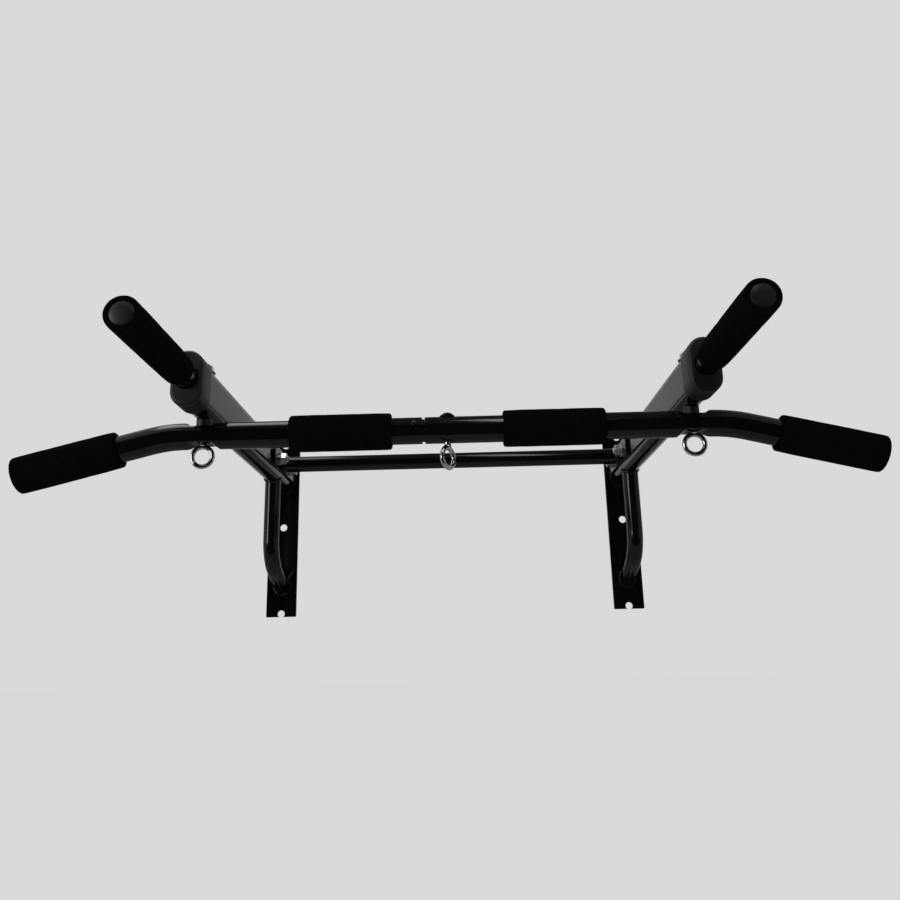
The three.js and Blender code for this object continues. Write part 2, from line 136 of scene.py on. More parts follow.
@dataclass(frozen=True)
class Seat:
    """The space that one CAD node holds, read from the frame."""

    low: Vector
    high: Vector

    @classmethod
    def of(cls, node: str) -> "Seat":
        """The space of a named node."""
        return cls(*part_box(node))

    @property
    def middle(self) -> Vector:
        """The centre of the space."""
        return (self.low + self.high) / 2

    @property
    def size(self) -> Vector:
        """The space's width, depth and height."""
        return self.high - self.low

def linked(name: str, data: bpy.types.ID) -> bpy.types.Object:
    """Adds a mesh, a light or a camera to the scene as an object."""
    made = bpy.data.objects.new(name, data)
    bpy.context.scene.collection.objects.link(made)
    return made


def sheet(name: str, corners: Sequence[Triple]) -> bpy.types.Object:
    """Makes a flat panel with the given corners."""
    mesh = bpy.data.meshes.new(name)
    mesh.from_pydata(corners, [], [tuple(range(len(corners)))])
    return linked(name, mesh)


# ------------------------------------------------------------------ shapes


def whole_turn(count: int) -> list[float]:
    """The angles of a full turn in even steps, in radians."""
    return [2 * math.pi * k / count for k in range(count)]


def circle(radius: float, height: float, count: int) -> Ring:
    """A level circle of points about Z."""
    return [Vector((radius * math.cos(a), radius * math.sin(a), height))
            for a in whole_turn(count)]


def arc(centre: Pair, radius: float, start: float, end: float, steps: int) -> list[Pair]:
    """Points along a circular arc.

    Args:
        centre: The arc's centre.
        radius: Its radius.
        start: First angle in degrees.
        end: Last angle in degrees.
        steps: Number of stretches between the points.

    Returns:
        The points, first and last included.
    """
    angles = [math.radians(start + (end - start) * i / steps) for i in range(steps + 1)]
    return [(centre[0] + radius * math.cos(a), centre[1] + radius * math.sin(a)) for a in angles]


def eased(corners: Sequence[Triple], steps: int = 4) -> list[Pair]:
    """An outline with each corner rounded by its own radius.

    Args:
        corners: (across, up, radius) of each corner, radius 0 for a sharp one.
        steps: Stretches in each rounded corner.

    Returns:
        The points of the rounded outline.
    """
    spare = 2.1                 # leaves a straight stretch between two rounded corners
    points: list[Pair] = []
    for i, (x, y, radius) in enumerate(corners):
        here = Vector((x, y))
        before = Vector(corners[i - 1][:2]) - here
        after = Vector(corners[(i + 1) % len(corners)][:2]) - here
        if radius <= 0 or before.length < TOUCH or after.length < TOUCH:
            points.append((x, y))
            continue
        reach = min(radius, before.length / spare, after.length / spare)
        first, last = here + before.normalized() * reach, here + after.normalized() * reach
        for share in (step / steps for step in range(steps + 1)):
            points.append(tuple(first.lerp(here, share).lerp(here.lerp(last, share), share)))
    return points


class Shape:
    """Points and faces of a piece before it becomes an object."""

    def __init__(self) -> None:
        """Starts with nothing."""
        self.points: list[Vector] = []
        self.faces: list[tuple[int, ...]] = []

    def rings(self, rings: Sequence[Ring], loop: bool = False, closed: bool = True) -> "Shape":
        """Adds a skin over rings of points with the same number in each.

        Args:
            rings: The rings in order; a ring of one point is a pole.
            loop: True if the last ring joins the first.
            closed: Not used; open ends are filled with a face all the same.

        Returns:
            This shape.
        """
        starts = []
        for ring in rings:
            starts.append(len(self.points))
            self.points.extend(ring)
        pairs = list(zip(range(len(rings) - 1), range(1, len(rings))))
        if loop:
            pairs.append((len(rings) - 1, 0))
        for a, b in pairs:
            self._join(starts[a], len(rings[a]), starts[b], len(rings[b]))
        for i in (0, len(rings) - 1):
            if not loop and len(rings[i]) > 2:
                self.faces.append(tuple(starts[i] + k for k in range(len(rings[i]))))
        return self

    def _join(self, a: int, count_a: int, b: int, count_b: int) -> None:
        """Adds the faces between two neighbouring rings."""
        count = max(count_a, count_b)
        for k in range(count):
            after = (k + 1) % count
            corners = [a + k % count_a, a + after % count_a, b + after % count_b, b + k % count_b]
            kept = [c for i, c in enumerate(corners) if c not in corners[:i]]
            if len(kept) > 2:
                self.faces.append(tuple(kept))

    def turned(self, profile: Sequence[Pair], sides: int = ROUND, loop: bool = False) -> "Shape":
        """Adds a profile turned about Z.

        Args:
            profile: (radius, height) points; a radius of 0 is a pole.
            sides: Facets round the axis.
            loop: True if the profile closes on itself, as a pipe's does.

        Returns:
            This shape.
        """
        rings = [circle(radius, height, sides if radius > TOUCH else 1)
                 for radius, height in profile]
        return self.rings(rings, loop=loop)

    def moved(self, matrix: Matrix) -> "Shape":
        """Moves every point by a matrix and returns this shape."""
        self.points = [matrix @ point for point in self.points]
        return self

    def joined(self, other: "Shape") -> "Shape":
        """Takes in another shape's points and faces and returns this shape."""
        start = len(self.points)
        self.points.extend(other.points)
        self.faces.extend(tuple(start + corner for corner in face) for face in other.faces)
        return self

    def made(self, name: str, crease: float = 35.0) -> bpy.types.Object:
        """Makes the object.

        Args:
            name: The piece's name.
            crease: Angle in degrees above which an edge stays sharp.

        Returns:
            The new object, linked to the scene.
        """
        mesh = bpy.data.meshes.new(name)
        mesh.from_pydata([tuple(p) for p in self.points], [], self.faces)
        work = bmesh.new()
        work.from_mesh(mesh)
        bmesh.ops.remove_doubles(work, verts=work.verts, dist=TOUCH)
        bmesh.ops.recalc_face_normals(work, faces=work.faces)
        work.to_mesh(mesh)
        work.free()
        return smooth(linked(name, mesh), crease)


def smooth(piece: bpy.types.Object, crease: float) -> bpy.types.Object:
    """Shades a piece smooth, with edges sharper than the crease angle kept crisp."""
    piece.data.shade_smooth()
    piece.data.set_sharp_from_angle(angle=math.radians(crease))
    return piece


def settled(piece: bpy.types.Object) -> bpy.types.Object:
    """Applies a piece's modifiers to its mesh and returns the piece."""
    graph = bpy.context.evaluated_depsgraph_get()
    mesh = bpy.data.meshes.new_from_object(piece.evaluated_get(graph))
    old = piece.data
    piece.modifiers.clear()
    piece.data = mesh
    mesh.name = piece.name
    bpy.data.meshes.remove(old)
    return piece


def levelled(piece: bpy.types.Object) -> None:
    """Lets the large faces set the shading, so that eased edges do not bend it."""
    weigh = piece.modifiers.new("levelled", "WEIGHTED_NORMAL")
    weigh.keep_sharp = weigh.use_face_influence = True
    settled(piece)


def combined(piece: bpy.types.Object, *others: bpy.types.Object, way: str = "DIFFERENCE",
             crease: float = 35.0) -> bpy.types.Object:
    """Cuts solids out of a piece, or joins them to it.

    Args:
        piece: The object to change.
        others: The solids, which are removed afterwards.
        way: "DIFFERENCE" to cut or "UNION" to join.
        crease: Angle in degrees above which an edge stays sharp.

    Returns:
        The changed object.
    """
    for other in others:
        change = piece.modifiers.new(way.lower(), "BOOLEAN")
        change.operation, change.solver, change.object = way, "EXACT", other
    smooth(settled(piece), crease)
    for mesh in [other.data for other in others]:
        bpy.data.meshes.remove(mesh)
    return piece


def drill(diameter: float, place: Matrix, reach: float) -> bpy.types.Object:
    """A round cutter, centred on a place and running both ways along its Z."""
    profile = [(0, -reach), (diameter / 2, -reach), (diameter / 2, reach), (0, reach)]
    return Shape().turned(profile, FINE_ROUND).moved(place).made("drill")


def pipe(outer: float, wall: float, length: float, lip: float, place: Matrix) -> Shape:
    """A straight pipe with eased lips.

    Args:
        outer: Outer radius.
        wall: Thickness of its wall.
        length: Its length.
        lip: Radius of the lips' rounding, half as much inside.
        place: Where its foot stands, and which way it runs.

    Returns:
        The pipe's shape.
    """
    inner = outer - wall
    profile = eased([(inner, 0, lip / 2), (outer, 0, lip),
                     (outer, length, lip), (inner, length, lip / 2)])
    return Shape().turned(profile, loop=True).moved(place)


def flat_bar(name: str, outline: Sequence[Pair], holes: Iterable[Sequence[Pair]],
             thickness: float, ease: float) -> bpy.types.Object:
    """A plate with holes and eased edges, lying on Z = 0 and rising to its thickness.

    Args:
        name: The piece's name.
        outline: The plate's outline.
        holes: The outline of each hole.
        thickness: The plate's thickness.
        ease: Rounding of its edges.

    Returns:
        The plate's object.
    """
    work = bmesh.new()
    edges = []
    for loop in (outline, *holes):
        corners = [work.verts.new((x, y, 0)) for x, y in loop]
        edges += [work.edges.new((a, b)) for a, b in zip(corners, corners[1:] + corners[:1])]
    bmesh.ops.triangle_fill(work, use_beauty=True, use_dissolve=False, edges=edges, normal=UP)
    for face in work.faces:
        if face.normal.z < 0:
            face.normal_flip()
    mesh = bpy.data.meshes.new(name)
    work.to_mesh(mesh)
    work.free()
    piece = linked(name, mesh)
    thicken = piece.modifiers.new("thickness", "SOLIDIFY")
    thicken.thickness, thicken.offset = thickness, 1
    soften = piece.modifiers.new("eased", "BEVEL")
    soften.width, soften.segments = ease, 3
    soften.limit_method, soften.angle_limit = "ANGLE", math.radians(50)
    soften.face_strength_mode = "FSTR_ALL"
    return smooth(settled(piece), 30)


def ring_of(radius: float, centre: Pair = (0, 0), sides: int = FINE_ROUND) -> list[Pair]:
    """A circle's outline."""
    return arc(centre, radius, 0, 360 * (sides - 1) / sides, sides - 1)


def oval(width: float, height: float, steps: int = 28, side_steps: int = 6) -> list[Pair]:
    """The outline of an upright flat oval.

    Args:
        width: Its width, also the diameter of its round ends.
        height: Its height.
        steps: Stretches in each round end.
        side_steps: Stretches in each straight side.

    Returns:
        The outline, starting at the right-hand side.
    """
    radius = width / 2
    reach = height / 2 - radius
    up = arc((0, reach), radius, 0, 180, steps)
    down = arc((0, -reach), radius, 180, 360, steps)
    side = [(radius, -reach + 2 * reach * k / side_steps) for k in range(1, side_steps)]
    return up + [(-x, -y) for x, y in side] + down + side


# ------------------------------------------------------------------ finishes


class Graph:
    """A material's nodes, added one at a time."""

    def __init__(self, name: str) -> None:
        """Starts a material with a plain shader.

        Args:
            name: The material's name.
        """
        self.material = bpy.data.materials.new(name)
        self.material.use_nodes = True
        self.tree = self.material.node_tree
        self.tree.nodes.clear()
        self.shader = self.node("ShaderNodeBsdfPrincipled")
        output = self.node("ShaderNodeOutputMaterial")
        self.join(self.shader.outputs["BSDF"], output.inputs["Surface"])
        self.place = self.node("ShaderNodeTexCoord").outputs["Object"]

    def node(self, kind: str, **values: object) -> bpy.types.Node:
        """Adds a node and sets the named inputs."""
        made = self.tree.nodes.new(kind)
        for name, value in values.items():
            made.inputs[name].default_value = value
        return made

    def join(self, source: bpy.types.NodeSocket, target: bpy.types.NodeSocket) -> None:
        """Links one socket to another."""
        self.tree.links.new(source, target)

    def set(self, **values: object) -> None:
        """Sets shader inputs, with underscores standing for spaces."""
        for name, value in values.items():
            self.shader.inputs[name.replace("_", " ")].default_value = value

    def grain(self, scale: float, detail: float = 2.0, stretch: Vector | None = None
              ) -> bpy.types.NodeSocket:
        """Cloudy noise over the piece.

        Args:
            scale: Grains in a metre.
            detail: Finer layers added.
            stretch: Scaling of each axis, for streaks.

        Returns:
            The noise's socket, from 0 to 1.
        """
        texture = self.node("ShaderNodeTexNoise", Scale=scale, Detail=detail)
        place = self.place
        if stretch is not None:
            mapping = self.node("ShaderNodeMapping", Scale=stretch)
            self.join(place, mapping.inputs["Vector"])
            place = mapping.outputs["Vector"]
        self.join(place, texture.inputs["Vector"])
        return texture.outputs["Fac"]

    def cells(self, scale: float) -> bpy.types.NodeSocket:
        """Rounded cells over the piece, a given number in a metre."""
        texture = self.node("ShaderNodeTexVoronoi", Scale=scale)
        self.join(self.place, texture.inputs["Vector"])
        return texture.outputs["Distance"]

    def ranged(self, source: bpy.types.NodeSocket, start: Pair, end: Pair) -> bpy.types.NodeSocket:
        """Carries one range of numbers to another.

        Args:
            source: The numbers.
            start: Their range.
            end: The range wanted.

        Returns:
            The new numbers' socket.
        """
        ranged = self.node("ShaderNodeMapRange", **{
            "From Min": start[0], "From Max": start[1], "To Min": end[0], "To Max": end[1]})
        self.join(source, ranged.inputs["Value"])
        return ranged.outputs["Result"]

    def shades(self, source: bpy.types.NodeSocket, *stops: tuple[float, Colour]) -> None:
        """Colours the surface along a ramp.

        Args:
            source: Where on the ramp, from 0 to 1.
            stops: The place and colour of each stop.
        """
        ramp = self.node("ShaderNodeValToRGB")
        elements = ramp.color_ramp.elements
        while len(elements) < len(stops):
            elements.new(1.0)
        for element, (place, colour) in zip(elements, stops):
            element.position = place
            element.color = (*colour, 1.0)
        self.join(source, ramp.inputs["Fac"])
        self.join(ramp.outputs["Color"], self.shader.inputs["Base Color"])

    def rough(self, source: bpy.types.NodeSocket) -> None:
        """Takes the surface's roughness from a socket."""
        self.join(source, self.shader.inputs["Roughness"])

    def sum(self, first: bpy.types.NodeSocket, second: bpy.types.NodeSocket, weight: float
            ) -> bpy.types.NodeSocket:
        """The first socket plus a weighted second one."""
        add = self.node("ShaderNodeMath")
        add.operation = "MULTIPLY_ADD"
        self.join(second, add.inputs[0])
        add.inputs[1].default_value = weight
        self.join(first, add.inputs[2])
        return add.outputs["Value"]

    def relief(self, height: bpy.types.NodeSocket, depth: float) -> None:
        """Gives the surface relief of a depth in metres."""
        bump = self.node("ShaderNodeBump", Distance=depth)
        self.join(height, bump.inputs["Height"])
        self.join(bump.outputs["Normal"], self.shader.inputs["Normal"])


@dataclass(frozen=True)
class GlossPaint:
    """Glossy black enamel with orange peel, wiping marks and a trace of dust."""

    slot: str = "frame_paint"
    body: Colour = (0.0009, 0.0011, 0.0011)
    dusty: Colour = (0.0026, 0.0029, 0.0029)
    gloss: Pair = (0.075, 0.19)
    peel_grain: float = 420.0
    peel_depth: float = 0.000012

    def material(self) -> bpy.types.Material:
        """The paint's material."""
        graph = Graph("gloss_black_enamel")
        graph.set(IOR=1.4)
        dust = graph.sum(graph.grain(14.0, 5.0), graph.grain(210.0, 3.0), 0.25)
        graph.shades(dust, (0.45, self.body), (0.85, self.dusty))
        wiped = graph.grain(9.0, 6.0, Vector((1.0, 1.0, 3.0)))
        graph.rough(graph.ranged(wiped, (0.35, 0.72), self.gloss))
        peel = graph.sum(graph.grain(self.peel_grain, 1.0), graph.grain(110.0, 1.0), 0.8)
        graph.relief(peel, self.peel_depth)
        return graph.material


@dataclass(frozen=True)
class FoamRubber:
    """Matte closed-cell foam with a fine open grain."""

    slot: str = "foam"
    dark: Colour = (0.0005, 0.0007, 0.0007)
    pale: Colour = (0.0021, 0.0027, 0.0028)
    cell_grain: float = 1100.0
    cell_depth: float = 0.00035

    def material(self) -> bpy.types.Material:
        """The foam's material."""
        graph = Graph("black_foam_rubber")
        graph.set(Roughness=0.95, Specular_IOR_Level=0.018)
        cells = graph.cells(self.cell_grain)
        cloud = graph.grain(75.0, 5.0)
        tone = graph.sum(graph.ranged(cells, (0.0, 0.75), (0.0, 0.5)), cloud, 0.6)
        graph.shades(tone, (0.25, self.dark), (0.85, self.pale))
        height = graph.sum(graph.sum(cells, graph.grain(2600.0, 2.0), 0.5), cloud, 0.7)
        graph.relief(height, self.cell_depth)
        return graph.material


@dataclass(frozen=True)
class MouldedPlastic:
    """Dark moulded plastic with a fine spark-eroded texture."""

    slot: str = "black_plastic"
    dark: Colour = (0.0030, 0.0036, 0.0035)
    pale: Colour = (0.0068, 0.0076, 0.0075)
    sheen: Pair = (0.38, 0.56)
    grain_depth: float = 0.00006

    def material(self) -> bpy.types.Material:
        """The plastic's material."""
        graph = Graph("dark_moulded_plastic")
        graph.set(IOR=1.49, Specular_IOR_Level=0.45)
        cloud = graph.grain(48.0, 4.0)
        graph.shades(cloud, (0.3, self.dark), (0.75, self.pale))
        graph.rough(graph.ranged(cloud, (0.3, 0.7), self.sheen))
        fine = graph.sum(graph.grain(1500.0, 2.0), graph.cells(2400.0), 0.4)
        graph.relief(fine, self.grain_depth)
        return graph.material


@dataclass(frozen=True)
class PlatedMetal:
    """Bright plated steel, from satin zinc to polished chrome."""

    slot: str
    name: str
    dull: Colour
    bright: Colour
    gloss: Pair
    brushing: float
    relief: float

    def material(self) -> bpy.types.Material:
        """The plating's material."""
        graph = Graph(self.name)
        graph.set(Metallic=1.0)
        cloud = graph.grain(130.0, 5.0)
        graph.shades(cloud, (0.30, self.dull), (0.62, self.bright))
        brushed = graph.grain(self.brushing, 3.0, Vector((1.0, 1.0, 14.0)))
        graph.rough(graph.sum(graph.ranged(cloud, (0.3, 0.7), self.gloss), brushed, 0.06))
        graph.relief(graph.sum(brushed, graph.grain(900.0, 2.0), 0.5), self.relief)
        return graph.material


ZINC = PlatedMetal("zinc", "satin_zinc", (0.42, 0.43, 0.45), (0.66, 0.67, 0.69),
                   (0.20, 0.34), 420.0, 0.00003)
CHROME = PlatedMetal("chrome", "polished_chrome", (0.50, 0.50, 0.51), (0.74, 0.74, 0.75),
                     (0.05, 0.11), 160.0, 0.000008)
PAINT = GlossPaint()
FOAM = FoamRubber()
PLASTIC = MouldedPlastic()
Finish = GlossPaint | FoamRubber | MouldedPlastic | PlatedMetal


@dataclass(frozen=True)
class FoamGrip:
    """A foam sleeve with rolled ends and the slight unevenness of cut foam."""

    diameter: float
    length: float
    bore: float
    roll: float = 0.0024
    lip: float = 0.0012
    waver: float = 0.00028
    waver_grain: float = 55.0
    pinch: float = 0.0005
    fine_waver: float = 0.35
    fine_grain: float = 260.0
    outward: float = 0.3        # how much of a swell outwards is kept
    skin: float = 0.0008        # nearer to the bore than this nothing moves
    pinch_power: int = 6        # how late the ends start to draw in
    step: float = 0.0016

    def shape(self, seed: float) -> Shape:
        """The sleeve standing on Z = 0.

        Args:
            seed: Shifts the unevenness, so that no two sleeves are alike.

        Returns:
            The sleeve's shape.
        """
        outer, inner, roll, lip, end = (
            self.diameter / 2, self.bore / 2, self.roll, self.lip, self.length)
        steps = max(4, round((end - 2 * roll) / self.step))
        profile = [
            (inner, lip), (inner + lip * 0.4, lip * 0.2), (inner + lip, 0.0),
            *arc((outer - roll, roll), roll, -90, 0, steps=8),
            *((outer, roll + (end - 2 * roll) * k / steps) for k in range(1, steps)),
            *arc((outer - roll, end - roll), roll, 0, 90, steps=8),
            (inner + lip, end), (inner + lip * 0.4, end - lip * 0.2), (inner, end - lip)]
        shape = Shape().turned(profile, ROUND, loop=True)
        for point in shape.points:
            self._loosen(point, seed)
        return shape

    def _loosen(self, point: Vector, seed: float) -> None:
        """Moves a point of the outer skin a little, as cut foam does."""
        radius = math.hypot(point.x, point.y)
        if radius < self.bore / 2 + self.skin:
            return
        spot = point * self.waver_grain + Vector((seed, seed * 0.7, 0))
        fine = point * self.fine_grain + Vector((0, seed, seed))
        change = self.waver * (noise.noise(spot) + self.fine_waver * noise.noise(fine))
        change -= self.pinch * abs(2 * point.z / self.length - 1) ** self.pinch_power
        scale = 1 + change * (1 if change < 0 else self.outward) / radius
        point.x *= scale
        point.y *= scale


@dataclass
class Bench:
    """Where pieces are dressed, fitted to a body and counted."""

    materials: dict[str, bpy.types.Material] = field(default_factory=dict)
    fitted: list[str] = field(default_factory=list)

    def fit(self, piece: bpy.types.Object, finish: Finish, *nodes: str,
            body: str = FRAME_BODY) -> bpy.types.Object:
        """Dresses a piece and fits it to its body.

        Args:
            piece: The finished mesh, in place.
            finish: Its finish.
            nodes: CAD nodes that it stands for.
            body: The body that it moves with.

        Returns:
            The piece.
        """
        if finish.slot not in self.materials:
            self.materials[finish.slot] = finish.material()
        levelled(piece)
        piece.data.materials.clear()
        piece.data.materials.append(self.materials[finish.slot])
        if nodes:
            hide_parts(*nodes)
        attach(piece, body)
        self.fitted.append(piece.name)
        log.info("%s: %d points, %s, on %s",
                 piece.name, len(piece.data.vertices), finish.slot, body)
        return piece

    def soft(self, sleeve: FoamGrip, seed: float, place: Matrix, name: str, node: str) -> None:
        """Makes a foam grip and fits it with the foam finish.

        Args:
            sleeve: The grip's sizes.
            seed: Shifts its unevenness.
            place: Where its foot stands, and which way it runs.
            name: The piece's name.
            node: The node that it stands for.
        """
        piece = self.fit(sleeve.shape(seed).moved(place).made(name, crease=60), FOAM, node)


# ------------------------------------------------------------------ fasteners


@dataclass(frozen=True)
class Thread:
    """A coarse metric thread."""

    diameter: float
    pitch: float
    depth: float = 0.54         # over the pitch
    tip: float = 0.65           # the tip's chamfer over the pitch
    run_out: float = 0.6        # depth that it fades to at the tip
    tip_length: float = 0.0008
    per_turn: int = 8

    def rings(self, low: float, high: float) -> list[Ring]:
        """Rings of a helical thread standing along Z.

        Args:
            low: Height where the thread starts.
            high: Height where it ends.

        Returns:
            The rings, from low to high.
        """
        count = max(2, round((high - low) / self.pitch * self.per_turn))
        rings = []
        for i in range(count + 1):
            height = low + (high - low) * i / count
            fade = min(1.0, (high - height) / self.pitch + 0.25)
            ring = []
            for angle in whole_turn(SHANK_ROUND):
                wave = 0.5 - 0.5 * math.cos(2 * math.pi * height / self.pitch - angle)
                cut = self.depth * self.pitch * (wave * fade + (1 - fade) * self.run_out)
                radius = self.diameter / 2 - cut
                ring.append(Vector((radius * math.cos(angle), radius * math.sin(angle), height)))
            rings.append(ring)
        return rings

    def tail(self, low: float, top: float) -> list[Ring]:
        """The threaded end of a shank, from a height to its chamfered tip."""
        tip = circle(self.diameter / 2 - self.pitch * self.tip, top, SHANK_ROUND)
        return [*self.rings(low, top - self.tip_length), tip, [Vector((0, 0, top))]]


@dataclass(frozen=True)
class HexBody:
    """The hexagon of a nut or of a bolt's head, with chamfered corners."""

    across: float
    height: float
    chamfer: float = 28.0
    face: float = 0.985         # the round faces over the size across the flats
    foot: float = 0.0002
    count: int = 72

    def outer(self, both: bool) -> list[Ring]:
        """Rings over the hexagon from its lower face to its upper one.

        Args:
            both: True if the lower face is chamfered as well.

        Returns:
            The rings.
        """
        flat = self.across / 2 * self.face
        rings: list[Ring] = [[], [], [], []]
        for angle in whole_turn(self.count):
            off = (angle + math.pi / 6) % (math.pi / 3) - math.pi / 6
            wall = self.across / 2 / math.cos(off)
            drop = (wall - flat) * math.tan(math.radians(self.chamfer))
            lower = [(flat, 0.0), (wall, drop)] if both else \
                [(wall * self.face, 0.0), (wall, self.foot)]
            upper = [(wall, self.height - drop), (flat, self.height)]
            for ring, (radius, z) in zip(rings, lower + upper):
                ring.append(Vector((radius * math.cos(angle), radius * math.sin(angle), z)))
        return rings


@dataclass(frozen=True)
class Fasteners:
    """Makes nuts, bolts and washers to fit the frame's nodes."""

    bench: Bench
    nut_play: float = 0.0001
    nut_ease: float = 0.0007
    sharp: float = 0.0001
    rolled: float = 0.0006
    bore_ease: float = 0.0005
    plain: float = 0.45         # share of a bolt's shank without thread

    def _axis(self, node: str, facing: Facing) -> tuple[Vector, float]:
        """The foot of a node along a facing, and its length that way."""
        seat = Seat.of(node)
        direction = Vector(facing.value)
        length = abs(seat.size.dot(direction))
        return seat.middle - direction * length / 2, length

    def nut(self, node: str, facing: Facing, thread: Thread, across: float,
            body: str = FRAME_BODY) -> None:
        """Makes a hexagon nut.

        Args:
            node: The node that it stands for.
            facing: The way its upper face points.
            thread: The thread inside it.
            across: Its size across the flats.
            body: The body that it moves with.
        """
        foot, height = self._axis(node, facing)
        hexagon = HexBody(across, height)
        bore, ease = thread.diameter / 2 + self.nut_play, self.nut_ease
        rings = hexagon.outer(both=True) + [circle(radius, z, hexagon.count) for radius, z in (
            (bore + ease, height), (bore, height - ease), (bore, ease), (bore + ease, 0))]
        shape = Shape().rings(rings, loop=True).moved(facing.at(foot))
        self.bench.fit(shape.made(f"{node}_turned", crease=25), ZINC, node, body=body)

    def washer(self, node: str, facing: Facing, bore: float, finish: Finish = ZINC,
               body: str = FRAME_BODY) -> None:
        """Makes a washer with one rolled and one sharp edge.

        Args:
            node: The node that it stands for.
            facing: The way its rolled edge points.
            bore: Diameter of its hole.
            finish: Its finish.
            body: The body that it moves with.
        """
        foot, height = self._axis(node, facing)
        outer = max(Seat.of(node).size) / 2
        profile = eased([(bore / 2, 0, self.sharp), (outer, 0, self.sharp),
                         (outer, height, self.rolled), (bore / 2, height, self.bore_ease)])
        shape = Shape().turned(profile, FINE_ROUND, loop=True).moved(facing.at(foot))
        self.bench.fit(shape.made(f"{node}_pressed"), finish, node, body=body)

    def bolt(self, node: str, facing: Facing, thread: Thread, across: float, head: float) -> None:
        """Makes a hexagon bolt, with its head first and its thread at the far end.

        Args:
            node: The node that it stands for.
            facing: The way its shank points.
            thread: Its thread.
            across: Its head's size across the flats.
            head: Its head's thickness.
        """
        foot, length = self._axis(node, facing)
        hexagon = HexBody(across, head)
        dish, dip = across * 0.36, 0.0004
        lid = [[Vector((0, 0, head - dip))], circle(dish, head - dip, hexagon.count),
               circle(dish + 2 * dip, head, hexagon.count)]
        radius, fillet = thread.diameter / 2, 0.0006
        under = circle(radius + fillet, 0, hexagon.count)
        crown = Shape().rings([*lid, *reversed(hexagon.outer(both=False)), under])
        crown.moved(Matrix.Translation((0, 0, head)) @ Matrix.Rotation(math.pi, 4, "X"))
        shank = length - head
        plain = self.plain * shank
        rings = [circle(r, z, SHANK_ROUND) for r, z in (
            (radius + fillet, -0.0002), (radius, 0.0005), (radius, plain))]
        stem = Shape().rings(rings + thread.tail(plain + 0.0004, shank))
        whole = crown.joined(stem.moved(Matrix.Translation((0, 0, head)))).moved(facing.at(foot))
        self.bench.fit(whole.made(f"{node}_turned", crease=25), ZINC, node)


# ------------------------------------------------------------------ welds and plugs


@dataclass(frozen=True)
class Weld:
    """A rippled fillet weld along a closed line."""

    radius: float = 0.0027
    ripple: float = 0.0034
    per_ripple: int = 6
    swell: float = 0.045
    waver: float = 0.16
    waver_grain: float = 160.0
    lag: float = 0.0004
    sides: int = 12

    def bead(self, name: str, line: Sequence[Vector]) -> bpy.types.Object:
        """Lays the bead.

        Args:
            name: The weld's name.
            line: The closed line that it follows.

        Returns:
            The bead's object.
        """
        points = spaced(line, self.ripple / self.per_ripple)
        count = len(points)
        turns = max(8, round(count / self.per_ripple))
        rings = []
        for i, point in enumerate(points):
            along = (points[(i + 1) % count] - points[i - 1]).normalized()
            steep = abs(along.z) > 0.9
            side = along.cross(Vector((1, 0, 0)) if steep else UP).normalized()
            other = along.cross(side)
            phase = 2 * math.pi * turns * i / count
            radius = self.radius * (1 + self.swell * math.sin(phase)
                                    + self.waver * noise.noise(point * self.waver_grain))
            drag = along * self.lag * math.cos(phase)
            rings.append([
                point + (side * math.cos(a) + other * math.sin(a)) * radius
                + drag * math.cos(2 * a) for a in whole_turn(self.sides)])
        return Shape().rings(rings, loop=True).made(name, crease=80)


def spaced(line: Sequence[Vector], step: float) -> list[Vector]:
    """Points at even steps along a closed line.

    Args:
        line: The line's corners.
        step: The distance wanted between points.

    Returns:
        The evenly spaced points.
    """
    corners = [*line, line[0]]
    lengths = [(b - a).length for a, b in zip(corners, corners[1:])]
    total = sum(lengths)
    count = max(12, round(total / step))
    points, passed, i = [], 0.0, 0
    for k in range(count):
        target = total * k / count
        while passed + lengths[i] < target and i < len(lengths) - 1:
            passed += lengths[i]
            i += 1
        share = (target - passed) / max(lengths[i], 1e-9)
        points.append(corners[i].lerp(corners[i + 1], min(1.0, share)))
    return points


def domed(rim: float, low: float, high: float, step: int) -> list[Pair]:
    """A dome's profile from its rim at a low height almost to its top at a high one."""
    angles = [math.radians(a) for a in range(0, 90, step)]
    return [(rim * math.cos(a), low + (high - low) * math.sin(a)) for a in angles]


def tube_plug(rim: float, wall: float, rise: float, depth: float) -> Shape:
    """A domed plug over a tube's mouth at Z = 0, with its stem below.

    Args:
        rim: Radius of its rim, the same as the tube's.
        wall: The tube's wall, which the stem clears.
        rise: Height of its dome.
        depth: Length of its stem.

    Returns:
        The plug's shape.
    """
    stem, skin, ease = rim - wall - PLAY, 0.0016, 0.0004
    profile = [(0, PLAY), (stem - skin, PLAY), (stem - skin, -depth), (stem - ease, -depth),
               (stem, 3 * ease - depth), (stem, PLAY), (rim - ease, PLAY), (rim, PLAY + ease),
               (rim, 0.0013), *domed(rim, 0.0011, rise, step=6)[1:], (0, rise)]
    return Shape().turned(profile)


# ------------------------------------------------------------------ wall frame


